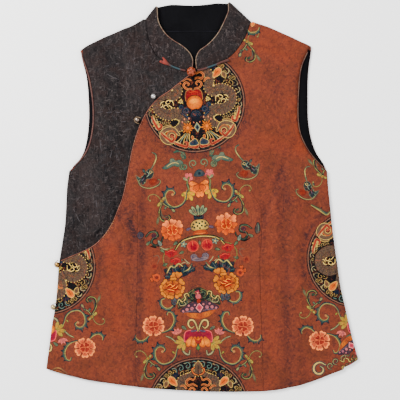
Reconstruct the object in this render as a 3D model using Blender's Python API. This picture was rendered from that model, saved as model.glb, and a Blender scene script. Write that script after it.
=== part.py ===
import math

import bmesh
import bpy
import numpy as np
from mathutils import Vector
from mathutils.geometry import delaunay_2d_cdt, intersect_line_line_2d

for old in list(bpy.data.objects):
    bpy.data.objects.remove(old, do_unlink=True)

# Driving sizes, all in millimetres. The waistcoat lies on its back: X across, Y up to the collar, Z up.
MM = 0.001
GAP = 0.3
SHELL = 1.2
LINING = 1.0
FRONT = 1.4
PIPING = 0.8
COLLAR_PIPING = (0.9, 0.6)
ARMHOLE_PIPING = {"left": (1.6, 0.9), "right": (1.0, 0.9)}

# The plan point under the middle of the whole garment, taken as the origin.
ORIGIN = (-0.25, 1.1)

# Heights of the layers above the surface the garment lies on.
LINING_Z = SHELL + GAP
FRONT_REST = LINING_Z + LINING + GAP + 0.2
SEAM_REST = SHELL + GAP
NECK_RISE = 1.85
LAP_STEP = 1.9
LAP_FADE = 14.0
SIDE_DROP = 6.0
SHOULDER_DROP = 4.0
PUFF = 1.1
PUFF_REACH = 55.0
DART_DEPTH = 0.5
DART_HALF = 3.0
UNDERLAP = 30.0
BACK_HEM_RISE = 5.0
LINING_HEM_RISE = 17.0

# The collar's two bands lie each side of one middle surface, at these heights.
COLLAR_BACK_Z = SHELL + GAP / 2
COLLAR_FRONT_Z = FRONT_REST + NECK_RISE - GAP / 2
COLLAR_TOP_RISE = 3.0
COLLAR_WIDTH = 43.0

# Body sections from underarm to hem corner: height, left edge, right edge.
SIDE_COLUMNS = ("y", "left", "right")
SIDE_ROWS = (
    (45, -226.9, 212.0),
    (16, -230.7, 214.2),
    (-14, -232.1, 217.2),
    (-48, -234.2, 220.7),
    (-82, -239.5, 224.9),
    (-116, -244.6, 229.9),
    (-150, -247.1, 234.7),
    (-184, -250.4, 242.2),
    (-218, -256.3, 249.9),
    (-252, -260.7, 258.4),
)

# Armhole sections from shoulder tip to underarm: front piping and back edge on each side.
ARMHOLE_COLUMNS = ("y", "left_front", "left_back", "right_front", "right_back")
ARMHOLE_ROWS = (
    (251, -206.2, -208.2, 180.6, 185.2),
    (237, -204.1, -205.6, 174.0, 183.3),
    (224, -199.5, -202.3, 168.7, 181.5),
    (207, -193.9, -198.0, 165.6, 179.9),
    (186, -189.8, -195.5, 163.8, 179.3),
    (162, -186.6, -194.0, 162.7, 179.3),
    (135, -185.7, -193.6, 162.8, 179.8),
    (111, -187.8, -195.3, 166.1, 182.8),
    (91, -192.4, -198.6, 174.2, 187.8),
    (74, -200.1, -203.9, 184.7, 194.7),
    (59, -212.5, -213.8, 197.4, 205.3),
    (48, -223.3, -224.2, 208.5, 210.2),
)

# The lapel's piping line from the neck to the left side seam.
LAPEL_COLUMNS = ("x", "y")
LAPEL_ROWS = (
    (-17.5, 210.5),
    (-26.3, 204.8),
    (-41.6, 192.9),
    (-58.6, 179.3),
    (-72.2, 170.8),
    (-85.8, 157.2),
    (-97.8, 139.4),
    (-107.1, 119.8),
    (-117.3, 89.2),
    (-126.0, 45.0),
    (-130.0, 22.9),
    (-136.8, -4.2),
    (-143.7, -21.2),
    (-149.8, -36.5),
    (-160.7, -56.3),
    (-169.2, -67.1),
    (-182.2, -80.1),
    (-201.4, -91.0),
    (-223.5, -100.3),
    (-242.5, -108.5),
)

# The curved front hem from left corner to the side seam's step, then the step to the right corner.
HEM_COLUMNS = ("x", "y")
HEM_ROWS = (
    (-266.0, -291.6),
    (-242.2, -299.2),
    (-215.0, -306.0),
    (-187.8, -311.9),
    (-147.0, -317.9),
    (-106.2, -323.0),
    (-65.5, -326.4),
    (-24.6, -328.9),
    (16.1, -330.6),
    (70.5, -330.6),
    (111.3, -329.3),
    (138.5, -325.6),
    (165.8, -319.6),
    (192.9, -311.1),
    (220.2, -300.1),
    (239.9, -292.9),
)
HEM_STEP_ROWS = (
    (240.8, -289.2),
    (252.4, -284.1),
    (265.5, -275.6),
)

# Shoulder lines from the neck out to the tips.
SHOULDER_COLUMNS = ("x", "y")
LEFT_SHOULDER_ROWS = (
    (-101.0, 302.6),
    (-106.2, 300.1),
    (-119.8, 292.4),
    (-133.4, 287.3),
    (-147.0, 281.3),
    (-160.7, 275.4),
    (-174.2, 269.4),
    (-187.8, 262.6),
    (-198.0, 257.6),
    (-207.4, 250.2),
)
RIGHT_SHOULDER_ROWS = (
    (85.6, 299.0),
    (97.8, 294.9),
    (111.3, 290.7),
    (125.0, 284.8),
    (138.5, 278.8),
    (152.2, 272.8),
    (165.8, 266.1),
    (175.9, 261.8),
    (185.0, 257.0),
)

# Collar sections round the neck, from one front end to the other: seam point and top edge point.
COLLAR_COLUMNS = ("place", "seam_x", "seam_y", "top_x", "top_y")
COLLAR_ROWS = (
    ("front", -19.2, 214.0, -15.8, 231.2),
    ("front", -28.1, 216.4, -19.7, 243.1),
    ("front", -39.9, 220.5, -28.1, 252.4),
    ("front", -51.9, 225.2, -37.4, 259.6),
    ("front", -66.3, 232.9, -51.0, 267.8),
    ("front", -77.3, 240.5, -62.0, 277.1),
    ("front", -87.5, 257.6, -70.5, 289.0),
    ("front", -93.8, 279.6, -76.3, 303.4),
    ("fold", -97.8, 303.1, -80.1, 325.6),
    ("back", -75.6, 289.8, -55.2, 327.6),
    ("back", -46.8, 283.7, -34.9, 326.9),
    ("back", -12.8, 283.1, -16.1, 326.2),
    ("back", 21.2, 284.2, 7.6, 327.9),
    ("back", 55.2, 290.2, 26.3, 330.3),
    ("fold", 83.0, 299.0, 46.8, 332.7),
    ("front", 75.6, 279.6, 44.7, 317.9),
    ("front", 65.5, 260.9, 38.2, 301.8),
    ("front", 50.1, 242.2, 28.1, 281.3),
    ("front", 33.1, 231.2, 16.1, 266.1),
    ("front", 14.4, 223.0, 3.4, 255.3),
    ("front", 0.8, 218.4, -6.0, 249.0),
    ("front", -9.3, 215.0, -12.1, 234.6),
)

# Soft folds and creases of the front: two ends, half width, height (a trough is negative).
FOLD_COLUMNS = ("x0", "y0", "x1", "y1", "half", "height")
FOLD_ROWS = (
    (151.0, 20.0, 143.0, -300.0, 13.0, 1.1),
    (178.0, -40.0, 172.0, -290.0, 16.0, -0.7),
    (60.0, -60.0, 66.0, -320.0, 22.0, 0.6),
    (-98.0, -150.0, -92.0, -315.0, 14.0, 0.9),
    (-135.0, -120.0, -150.0, -310.0, 16.0, -0.6),
    (-190.0, -150.0, -205.0, -300.0, 20.0, 0.7),
    (-110.0, -70.0, -160.0, -95.0, 10.0, 0.8),
    (-135.0, -30.0, -175.0, -90.0, 8.0, -0.6),
    (-150.0, 120.0, -165.0, -60.0, 14.0, 0.8),
    (-172.0, 150.0, -205.0, -40.0, 12.0, -0.6),
    (-190.0, 0.0, -232.0, -60.0, 10.0, 0.7),
    (120.0, 160.0, 60.0, 60.0, 30.0, 0.8),
    (-60.0, 120.0, 40.0, 90.0, 34.0, 0.7),
    (150.0, 220.0, 95.0, 262.0, 16.0, 0.6),
    (-150.0, 240.0, -110.0, 200.0, 16.0, 0.6),
)

# Stitched darts of the printed front, each a short line of points.
DART_ROWS = {
    "left_waist": ((-109.6, -9.3), (-109.6, -45.0), (-111.3, -167.4), (-113.9, -264.3), (-115.1, -318.0)),
    "right_waist": ((82.5, 12.8), (91.0, -2.5), (101.1, -24.6), (100.3, -72.2), (97.8, -109.6),
                    (99.1, -174.2), (102.0, -254.2), (103.7, -325.0)),
    "right_bust": ((214.5, -33.5), (208.2, -29.8), (191.2, -19.6), (170.8, -2.5), (148.8, 4.2)),
}
YOKE_DART_ROWS = {
    "left_bust": ((-230.0, -50.5), (-211.7, -33.1), (-192.9, -14.4)),
}

# Buttons: centre, radius and whether each sits on the yoke or at the side edge.
BUTTON_COLUMNS = ("x", "y", "radius", "place", "loop_angle")
BUTTON_ROWS = (
    (-83.3, 171.5, 4.2, "yoke", -42.0),
    (-110.8, 131.8, 4.4, "yoke", -20.0),
    (-246.8, -113.9, 4.2, "side", 40.0),
    (-253.5, -186.2, 3.8, "side", 20.0),
)
LOOP_CORD = 0.7
KNOT = {"x": -18.9, "y": 212.8, "radius": 7.0, "half_height": 5.6, "lobes": 5}

# The frog's strips: points from the knot to the tip with half width and half height.
FROG_COLUMNS = ("x", "y", "half_width", "half_height")
LEFT_FROG_ROWS = (
    (-28.6, 215.4, 1.7, 1.0),
    (-36.5, 217.3, 1.7, 1.0),
    (-45.0, 220.0, 1.6, 1.0),
    (-53.5, 223.8, 1.6, 1.0),
    (-59.5, 227.2, 2.6, 1.1),
    (-65.0, 230.8, 4.6, 1.1),
    (-70.5, 234.6, 5.4, 0.9),
)
RIGHT_FROG_ROWS = (
    (-8.6, 216.0, 1.7, 1.0),
    (0.8, 217.9, 1.7, 1.0),
    (11.0, 221.5, 1.6, 1.0),
    (21.2, 225.1, 1.6, 1.0),
    (33.1, 230.2, 1.8, 1.0),
    (45.0, 233.8, 2.6, 0.9),
)

RUST = (0.34, 0.09, 0.04)
DARK = (0.05, 0.042, 0.045)
BLACK = (0.008, 0.008, 0.010)
TRIM = (0.38, 0.16, 0.10)


# Curves and distances.
def curve(points, parts=5):
    """Centripetal Catmull-Rom through the points, in two or three dimensions."""
    pts = [np.array(p, float) for p in points]
    pts = [2 * pts[0] - pts[1]] + pts + [2 * pts[-1] - pts[-2]]
    out = []
    for i in range(1, len(pts) - 2):
        p0, p1, p2, p3 = pts[i - 1:i + 3]
        t1 = max(np.linalg.norm(p1 - p0), 1e-6) ** 0.5
        t2 = t1 + max(np.linalg.norm(p2 - p1), 1e-6) ** 0.5
        t3 = t2 + max(np.linalg.norm(p3 - p2), 1e-6) ** 0.5
        for k in range(parts):
            t = t1 + (t2 - t1) * k / parts
            a1 = (t1 - t) / t1 * p0 + t / t1 * p1
            a2 = (t2 - t) / (t2 - t1) * p1 + (t - t1) / (t2 - t1) * p2
            a3 = (t3 - t) / (t3 - t2) * p2 + (t - t2) / (t3 - t2) * p3
            b1 = (t2 - t) / t2 * a1 + t / t2 * a2
            b2 = (t3 - t) / (t3 - t1) * a2 + (t - t1) / (t3 - t1) * a3
            out.append((t2 - t) / (t2 - t1) * b1 + (t - t1) / (t2 - t1) * b2)
    out.append(pts[-2])
    return np.array(out)


def spaced(line, step):
    """The same line with even spaces near the given step."""
    line = np.array(line, float)
    lengths = np.linalg.norm(np.diff(line, axis=0), axis=1)
    along = np.concatenate([[0.0], np.cumsum(lengths)])
    count = max(1, round(along[-1] / step))
    marks = np.linspace(0.0, along[-1], count + 1)
    return np.stack([np.interp(marks, along, line[:, k]) for k in range(line.shape[1])], axis=1)


def trimmed(line, start, end):
    """The line without the first and last few millimetres."""
    line = np.array(line, float)
    lengths = np.linalg.norm(np.diff(line, axis=0), axis=1)
    along = np.concatenate([[0.0], np.cumsum(lengths)])
    keep = (along > start) & (along < along[-1] - end)
    first = [np.interp(start, along, line[:, k]) for k in range(line.shape[1])]
    last = [np.interp(along[-1] - end, along, line[:, k]) for k in range(line.shape[1])]
    return np.array([first] + list(line[keep]) + [last])


def shifted(line, distance):
    """The plan line moved to its left by a distance, or by one distance a point."""
    line = np.array(line, float)[:, :2]
    along = np.gradient(line, axis=0)
    along /= np.linalg.norm(along, axis=1)[:, None]
    side = np.stack([-along[:, 1], along[:, 0]], axis=1)
    return line + side * np.reshape(distance, (-1, 1))


def longer(line, start, end):
    """The line run straight on past its ends, so that it crosses its neighbours."""
    line = np.array(line, float)
    first = line[0] + (line[0] - line[1]) / np.linalg.norm(line[0] - line[1]) * max(start, 0.01)
    last = line[-1] + (line[-1] - line[-2]) / np.linalg.norm(line[-1] - line[-2]) * max(end, 0.01)
    return np.vstack([[first], line, [last]])


def distance_to(points, line):
    """Least distance from each plan point to the line."""
    points = np.atleast_2d(points)[:, :2]
    line = np.array(line, float)[:, :2]
    best = np.full(len(points), 1e9)
    for a, b in zip(line[:-1], line[1:]):
        ab = b - a
        t = np.clip(((points - a) @ ab) / max(ab @ ab, 1e-9), 0.0, 1.0)
        best = np.minimum(best, np.linalg.norm(points - a - t[:, None] * ab, axis=1))
    return best


def inside(points, outline):
    """Which plan points lie inside the closed outline."""
    points = np.atleast_2d(points)[:, :2]
    x, y = points[:, 0], points[:, 1]
    hit = np.zeros(len(points), bool)
    for a, b in zip(outline, np.roll(outline, -1, axis=0)):
        if a[1] == b[1]:
            continue
        cross = (a[1] > y) != (b[1] > y)
        hit ^= cross & (x < (b[0] - a[0]) * (y - a[1]) / (b[1] - a[1]) + a[0])
    return hit


def smoothstep(value):
    value = np.clip(value, 0.0, 1.0)
    return value * value * (3.0 - 2.0 * value)


def joined(lines, step):
    """Lines that follow each other round a panel, cut where neighbours cross, as one outline."""
    lines = [np.array(line, float)[:, :2] for line in lines]
    for i in range(len(lines)):
        a, b = lines[i], lines[(i + 1) % len(lines)]
        done = False
        for ia in range(len(a) - 2, -1, -1):
            for ib in range(len(b) - 1):
                hit = intersect_line_line_2d(Vector(a[ia]), Vector(a[ia + 1]), Vector(b[ib]), Vector(b[ib + 1]))
                if hit is not None:
                    lines[i] = np.vstack([a[:ia + 1], [hit]])
                    lines[(i + 1) % len(lines)] = np.vstack([[hit], b[ib + 1:]])
                    done = True
                    break
            if done:
                break
    outline = []
    for line in lines:
        gaps = np.linalg.norm(np.diff(line, axis=0), axis=1)
        for point in line if np.median(gaps) > step * 0.35 else spaced(line, step):
            if not outline or np.linalg.norm(point - outline[-1]) > 0.8:
                outline.append(point)
    while np.linalg.norm(outline[0] - outline[-1]) < 0.8:
        outline.pop()
    return np.array(outline)


# Solids.
def add(name, points, faces, color, rough):
    mesh = bpy.data.meshes.new(name)
    moved = [(p[0] - ORIGIN[0], p[1] - ORIGIN[1], p[2]) for p in points]
    mesh.from_pydata([tuple(float(c) * MM for c in p) for p in moved], [], faces)
    bm = bmesh.new()
    bm.from_mesh(mesh)
    bmesh.ops.recalc_face_normals(bm, faces=bm.faces)
    if bm.calc_volume(signed=True) < 0:
        bmesh.ops.reverse_faces(bm, faces=bm.faces)
    bmesh.ops.triangulate(bm, faces=bm.faces)
    bm.to_mesh(mesh)
    bm.free()
    material = bpy.data.materials.new(name + "_material")
    material.use_nodes = True
    shader = material.node_tree.nodes["Principled BSDF"]
    shader.inputs["Base Color"].default_value = (*color, 1.0)
    shader.inputs["Roughness"].default_value = rough
    mesh.materials.append(material)
    thing = bpy.data.objects.new(name, mesh)
    bpy.context.scene.collection.objects.link(thing)
    return thing


def panel(name, outline, height, thickness, spacing, color, creases=(), breaks=()):
    """A cloth wall over a plan outline: its underside follows the height field, its top is one thickness up.
    Creases are stitched darts, and breaks are lines where the slope changes."""
    low, high = outline.min(axis=0), outline.max(axis=0)
    rows = []
    row_step = spacing * math.sqrt(3) / 2
    for j in range(int((high[1] - low[1]) / row_step) + 1):
        start = low[0] + (j % 2) * spacing / 2
        for i in range(int((high[0] - low[0]) / spacing) + 1):
            rows.append((start + i * spacing, low[1] + j * row_step))
    grid = np.array(rows)
    grid = grid[inside(grid, outline)]
    grid = grid[distance_to(grid, np.vstack([outline, outline[:1]])) > spacing * 0.5]
    points = [tuple(p) for p in outline]
    edges = []
    for crease in creases:
        line = spaced(curve(crease), spacing)
        for offset in (-DART_HALF, 0.0, DART_HALF):
            side = shifted(line, offset) if offset else line
            start = len(points)
            points.extend(tuple(p) for p in side)
            edges.extend((start + k, start + k + 1) for k in range(len(side) - 1))
        grid = grid[distance_to(grid, line) > DART_HALF + spacing * 0.4]
    for line in breaks:
        line = spaced(line, spacing * 0.7)
        line = line[inside(line, outline)]
        line = line[distance_to(line, np.vstack([outline, outline[:1]])) > 2.5]
        points.extend(tuple(p) for p in line)
        grid = grid[distance_to(grid, line) > spacing * 0.4]
    points.extend(tuple(p) for p in grid)
    ring = list(range(len(outline)))
    flat, _, faces, _, _, _ = delaunay_2d_cdt([Vector(p) for p in points], edges, [ring], 1, 1e-4)
    flat = np.array([tuple(p) for p in flat])
    faces = [list(f) for f in faces]
    z = height(flat)
    for crease in creases:
        away = distance_to(flat, curve(crease))
        z = z + DART_DEPTH * (np.exp(-((away / 18.0) ** 2)) - 1.0 + np.clip(away / DART_HALF, 0.0, 1.0))
    count = len(flat)
    under = np.column_stack([flat, z])
    over = np.column_stack([flat, z + thickness])
    seen = {}
    for face in faces:
        for a, b in zip(face, face[1:] + face[:1]):
            seen[(a, b)] = True
    rim = [(a, b) for a, b in seen if (b, a) not in seen]
    solid = [[i + count for i in face] for face in faces]
    solid += [face[::-1] for face in faces]
    solid += [[a, b, b + count, a + count][::-1] for a, b in rim]
    return add(name, np.vstack([under, over]), solid, color, 0.85)


def tube(name, path, sizes, sides, color, closed=False, rough=0.6):
    """A round or oval cord along a path; sizes gives half width and half height at each point."""
    path = np.array(path, float)
    sizes = np.broadcast_to(np.array(sizes, float), (len(path), 2))
    if closed:
        along = np.roll(path, -1, axis=0) - np.roll(path, 1, axis=0)
    else:
        along = np.gradient(path, axis=0)
    along /= np.linalg.norm(along, axis=1)[:, None]
    up = np.array([0.0, 0.0, 1.0])
    points, faces = [], []
    for centre, ahead, (wide, tall) in zip(path, along, sizes):
        across = np.cross(up, ahead)
        if np.linalg.norm(across) < 1e-3:
            across = np.array([1.0, 0.0, 0.0])
        across /= np.linalg.norm(across)
        rise = np.cross(ahead, across)
        for k in range(sides):
            turn = 2 * math.pi * k / sides
            points.append(centre + across * wide * math.cos(turn) + rise * tall * math.sin(turn))
    rings = len(path)
    for i in range(rings if closed else rings - 1):
        j = (i + 1) % rings
        for k in range(sides):
            m = (k + 1) % sides
            faces.append([i * sides + k, i * sides + m, j * sides + m, j * sides + k])
    if not closed:
        faces.append(list(range(sides))[::-1])
        faces.append([(rings - 1) * sides + k for k in range(sides)])
    return add(name, points, faces, color, rough)


def ball(name, centre, radius, half_height, color, lobes=0, around=14, levels=8, rough=0.3):
    """A closed ball; lobes swell it like the turns of a knotted cord."""
    points = [(centre[0], centre[1], centre[2] + half_height)]
    for i in range(1, levels):
        tilt = math.pi * i / levels
        for k in range(around):
            turn = 2 * math.pi * k / around
            swell = 1.0 + (0.05 * math.cos(lobes * turn + i) if lobes else 0.0)
            points.append((centre[0] + radius * swell * math.sin(tilt) * math.cos(turn),
                           centre[1] + radius * swell * math.sin(tilt) * math.sin(turn),
                           centre[2] + half_height * math.cos(tilt)))
    points.append((centre[0], centre[1], centre[2] - half_height))
    faces = [[0, 1 + k, 1 + (k + 1) % around] for k in range(around)]
    for i in range(levels - 2):
        a, b = 1 + i * around, 1 + (i + 1) * around
        for k in range(around):
            m = (k + 1) % around
            faces.append([a + k, b + k, b + m, a + m])
    last = len(points) - 1
    base = 1 + (levels - 2) * around
    faces += [[last, base + (k + 1) % around, base + k] for k in range(around)]
    return add(name, points, faces, color, rough)


# The collar's middle surface: matching seam and top edge lines in three dimensions.
def collar_lines():
    seam, top, kind = [], [], []
    rows = [dict(zip(COLLAR_COLUMNS, row)) for row in COLLAR_ROWS]
    for index, row in enumerate(rows):
        s = np.array([row["seam_x"], row["seam_y"]])
        t = np.array([row["top_x"], row["top_y"]])
        width = np.linalg.norm(t - s)
        lift = COLLAR_FRONT_Z + COLLAR_TOP_RISE * min(1.0, width / COLLAR_WIDTH)
        if row["place"] == "front":
            seam.append((*s, COLLAR_FRONT_Z))
            top.append((*t, lift))
            kind.append("front")
        elif row["place"] == "back":
            seam.append((*s, COLLAR_BACK_Z))
            top.append((*t, COLLAR_BACK_Z))
            kind.append("back")
        else:
            axis = (t - s) / width
            out = np.array([-axis[1], axis[0]])
            left = rows[index - 1]["place"] == "front"
            out = out if left else -out
            turns = [0.0, 0.25, 0.5, 0.75, 1.0]
            for turn in turns if left else turns[::-1]:
                for line, spot, high in ((seam, s, COLLAR_FRONT_Z), (top, t, lift)):
                    radius = (high - COLLAR_BACK_Z) / 2
                    centre = spot - out * (radius + SHELL + GAP / 2)
                    plan = centre + out * radius * math.sin(math.pi * turn)
                    line.append((*plan, COLLAR_BACK_Z + radius * (1 + math.cos(math.pi * turn))))
                kind.append("fold%.2f" % turn)
    return np.array(seam), np.array(top), kind


def collar_dense():
    seam, top, kind = collar_lines()
    parts = 2
    seam, top = curve(seam, parts), curve(top, parts)
    for line in (seam, top):
        line[:, 2] = np.maximum(line[:, 2], COLLAR_BACK_Z)
    return seam, top, kind, parts


def slant(ahead, across):
    """Sine of the angle between two directions, kept from growing too small."""
    ahead = ahead / np.linalg.norm(ahead, axis=-1, keepdims=True)
    across = across / np.linalg.norm(across, axis=-1, keepdims=True)
    return np.maximum(np.linalg.norm(np.cross(ahead, across), axis=-1), 0.35)


def band(name, seam, top, inner, outer, low_gap, high_gap, end_gap, rows, color):
    """One band of the collar between two offsets of its middle surface."""
    width = np.linalg.norm(top - seam, axis=1)
    high_gap = high_gap / slant(np.gradient(top, axis=0), top - seam)
    seam, top = seam.copy(), top.copy()
    for line in (seam, top):
        for end, after in ((0, 1), (-1, -2)):
            step = line[after] - line[end]
            move = end_gap / slant(step, top[end] - seam[end])
            line[end] = line[end] + step / np.linalg.norm(step) * move
    shares = [np.linspace(low_gap / w, 1.0 - h / w, rows + 1) for w, h in zip(width, high_gap)]
    middle = np.array([[s + (t - s) * v for v in share] for s, t, share in zip(seam, top, shares)])
    along = np.gradient(middle, axis=0)
    across = np.gradient(middle, axis=1)
    normal = np.cross(along, across)
    normal /= np.linalg.norm(normal, axis=2)[:, :, None]
    if normal[2, 1, 2] < 0:
        normal = -normal
    stations, wide = middle.shape[0], rows + 1
    points = np.vstack([(middle + normal * outer).reshape(-1, 3), (middle + normal * inner).reshape(-1, 3)])
    points[:, 2] = np.maximum(points[:, 2], 0.0)
    total = stations * wide
    faces = []
    for i in range(stations - 1):
        for j in range(rows):
            a, b, c, d = i * wide + j, (i + 1) * wide + j, (i + 1) * wide + j + 1, i * wide + j + 1
            faces.append([a, b, c, d])
            faces.append([a + total, d + total, c + total, b + total])
    border = [i * wide for i in range(stations)]
    border += [(stations - 1) * wide + j for j in range(1, wide)]
    border += [i * wide + rows for i in range(stations - 2, -1, -1)]
    border += [j for j in range(rows - 1, 0, -1)]
    for a, b in zip(border, border[1:] + border[:1]):
        faces.append([b, a, a + total, b + total])
    return add(name, points, faces, color, 0.85), middle, normal


# Named lines of the garment in plan.
side_left = curve([(row[1], row[0]) for row in SIDE_ROWS] + [(-266.0, -291.6)])
side_right = curve([(row[2], row[0]) for row in SIDE_ROWS] + [(265.5, -275.6)])
arm = {name: curve([(row[i], row[0]) for row in ARMHOLE_ROWS]) for i, name in enumerate(ARMHOLE_COLUMNS) if i}
lapel = curve(LAPEL_ROWS)
hem = curve(HEM_ROWS)
hem_step = np.array(HEM_STEP_ROWS, float)
shoulder_left = curve(LEFT_SHOULDER_ROWS)
shoulder_right = curve(RIGHT_SHOULDER_ROWS)
seam_line, top_line, stations, parts = collar_dense()
left_fold = stations.index("fold0.50") * parts
right_fold = (len(stations) - 1 - stations[::-1].index("fold0.50")) * parts
neck_left = shifted(seam_line[:left_fold + 1], GAP * 1.2)
neck_back = shifted(seam_line[left_fold:right_fold + 1], -GAP * 1.2)
neck_right = shifted(seam_line[right_fold:], GAP * 1.2)
edge_in = PIPING + GAP
armhole_in = {side: size[0] + GAP for side, size in ARMHOLE_PIPING.items()}


# Height of the first front layer's underside.
def first_layer(points):
    points = np.atleast_2d(points)[:, :2]
    edges = (side_left, side_right, shoulder_left, shoulder_right, hem, arm["left_front"], arm["right_front"])
    reach = np.min([distance_to(points, line) for line in edges], axis=0)
    height = PUFF * smoothstep(reach / PUFF_REACH)
    for row in FOLD_ROWS:
        fold = dict(zip(FOLD_COLUMNS, row))
        away = distance_to(points, [(fold["x0"], fold["y0"]), (fold["x1"], fold["y1"])])
        height += fold["height"] * np.exp(-((away / fold["half"]) ** 2))
    height = np.maximum(height, 0.0)
    neck = np.minimum(distance_to(points, seam_line[:left_fold + 1]), distance_to(points, seam_line[right_fold:]))
    near = 1.0 - smoothstep(neck / 34.0)
    height = height * (1.0 - near) + NECK_RISE * near + FRONT_REST
    drop = smoothstep(np.minimum(distance_to(points, side_left), distance_to(points, side_right)) / SIDE_DROP)
    drop *= smoothstep(np.minimum(distance_to(points, shoulder_left), distance_to(points, shoulder_right))
                       / SHOULDER_DROP)
    return SEAM_REST + (height - SEAM_REST) * drop


def underlap_line():
    line = spaced(lapel, 8.0)
    along = np.linspace(0.0, 1.0, len(line)) * 8.0 * (len(line) - 1)
    wide = 3.0 + (UNDERLAP - 3.0) * smoothstep(along / 60.0) * smoothstep((along[-1] - along) / 70.0)
    return shifted(line, wide)


# The dark right front, which runs on under the lapel.
lapel_end_y = LAPEL_ROWS[-1][1]
yoke_side = side_left[side_left[:, 1] > lapel_end_y - 5.0]
yoke_outline = joined((
    neck_left,
    shoulder_left,
    shifted(arm["left_front"], armhole_in["left"]),
    yoke_side,
    underlap_line()[::-1],
), 9.0)


def lap_layer(points):
    points = np.atleast_2d(points)[:, :2]
    away = distance_to(points, np.vstack([yoke_outline, yoke_outline[:1]]))
    away[inside(points, yoke_outline)] = 0.0
    return first_layer(points) + LAP_STEP * (1.0 - smoothstep(away / LAP_FADE))


front_side_left = side_left[side_left[:, 1] < lapel_end_y + 1.5]
left_front_outline = joined((
    neck_right[::-1],
    shoulder_right,
    shifted(arm["right_front"], -armhole_in["right"]),
    side_right,
    hem_step[::-1],
    hem[::-1],
    front_side_left[::-1],
    shifted(lapel, edge_in)[::-1],
), 9.0)

# Back shell and its lining, flat on the surface.
back_hem = hem + np.array([0.0, BACK_HEM_RISE])
lining_hem = hem + np.array([0.0, LINING_HEM_RISE])
back_outline = joined((
    trimmed(shifted(neck_back, -0.3), 5.0, 5.0),
    shoulder_right,
    arm["right_back"],
    side_right,
    hem_step[::-1] + np.array([0.0, 1.2]),
    back_hem[::-1],
    side_left[::-1],
    arm["left_back"][::-1],
    shoulder_left[::-1],
), 11.0)
lining_outline = joined((
    trimmed(shifted(neck_back, -0.3), 7.0, 7.0),
    longer(shifted(shoulder_right, -SHOULDER_DROP - 2.5), 0.0, 12.0),
    shifted(arm["right_back"], -0.4),
    longer(shifted(side_right, -SIDE_DROP - 2.5), 12.0, 0.0),
    lining_hem[::-1],
    longer(shifted(side_left, SIDE_DROP + 2.5), 12.0, 0.0)[::-1],
    shifted(arm["left_back"], 0.4)[::-1],
    longer(shifted(shoulder_left, SHOULDER_DROP + 2.5), 0.0, 12.0)[::-1],
), 11.0)

panel("back_shell", back_outline, lambda p: np.zeros(len(p)), SHELL, 46.0, RUST)
panel("back_lining", lining_outline, lambda p: np.full(len(p), LINING_Z), LINING, 46.0, BLACK)
drops = (
    shifted(side_left, SIDE_DROP),
    shifted(side_right, -SIDE_DROP),
    shifted(shoulder_left, SHOULDER_DROP),
    shifted(shoulder_right, -SHOULDER_DROP),
)
lap_edge = underlap_line()
lap_breaks = drops + (lap_edge, shifted(lap_edge, LAP_FADE * 0.5), shifted(lap_edge, LAP_FADE))
panel("right_front", yoke_outline, first_layer, FRONT, 16.0, DARK, YOKE_DART_ROWS.values(), drops)
panel("left_front", left_front_outline, lap_layer, FRONT, 18.0, RUST, DART_ROWS.values(), lap_breaks)

# The collar: a dark band outside, a black band inside and a piping round its edge.
_, middle, normal = band("collar_outer", seam_line, top_line, GAP / 2, GAP / 2 + SHELL,
                         GAP / 2, COLLAR_PIPING[0] + GAP, COLLAR_PIPING[0] + GAP, 3, DARK)
band("collar_lining", seam_line, top_line, -GAP / 2 - LINING, -GAP / 2,
     GAP / 2, -COLLAR_PIPING[0], 0.3, 3, BLACK)
edge_up = normal[:, -1] * (GAP / 2 + COLLAR_PIPING[1])
edge_path = top_line + edge_up
edge_path[:, 2] = np.maximum(edge_path[:, 2], COLLAR_PIPING[1] + 0.03)
left_end = seam_line[0] * 0.85 + top_line[0] * 0.15 + edge_up[0]
right_end = seam_line[-1] * 0.85 + top_line[-1] * 0.15 + edge_up[-1]
collar_path = np.vstack([[left_end], edge_path, [right_end]])
tube("collar_piping", collar_path, COLLAR_PIPING, 8, TRIM)

# Pipings of the lapel and the two front armholes, on the points of the panels they edge.
lapel_path = spaced(trimmed(lapel, 4.5, 1.5), 6.5)
lapel_z = first_layer(lapel_path) + FRONT + GAP + PIPING + 0.1
tube("lapel_piping", np.column_stack([lapel_path, lapel_z]), (PIPING, PIPING), 6, TRIM)
for side in ("left", "right"):
    wide, tall = ARMHOLE_PIPING[side]
    path = spaced(trimmed(arm[side + "_front"], 3.0, 4.0), 6.0)
    z = first_layer(path) + tall
    tube("armhole_piping_" + side, np.column_stack([path, z]), (wide, tall), 6, TRIM)


# The frog: two strips sewn along the neck seam and the ball knot between them.
def top_of_fronts(points):
    points = np.atleast_2d(points)[:, :2]
    near = distance_to(points, np.vstack([left_front_outline, left_front_outline[:1]]))
    lapped = inside(points, left_front_outline) | (near < 4.0)
    return np.where(lapped, lap_layer(points), first_layer(points)) + FRONT


def frog(name, rows):
    line = spaced(curve([row for row in rows]), 4.0)
    around = np.vstack([line[:, :2] + offset for offset in ((0, 0), (0, 4), (0, -4), (3, 0), (-3, 0))])
    ground = top_of_fronts(around).reshape(5, -1).max(axis=0)
    collar = COLLAR_FRONT_Z + GAP / 2 + SHELL + 0.5
    z = np.maximum(ground, collar) + GAP + line[:, 3]
    for _ in range(3):
        z = np.maximum(z, (np.roll(z, 1) + np.roll(z, -1)) / 2)
    tube(name, np.column_stack([line[:, :2], z]), line[:, 2:4], 8, TRIM)


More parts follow.
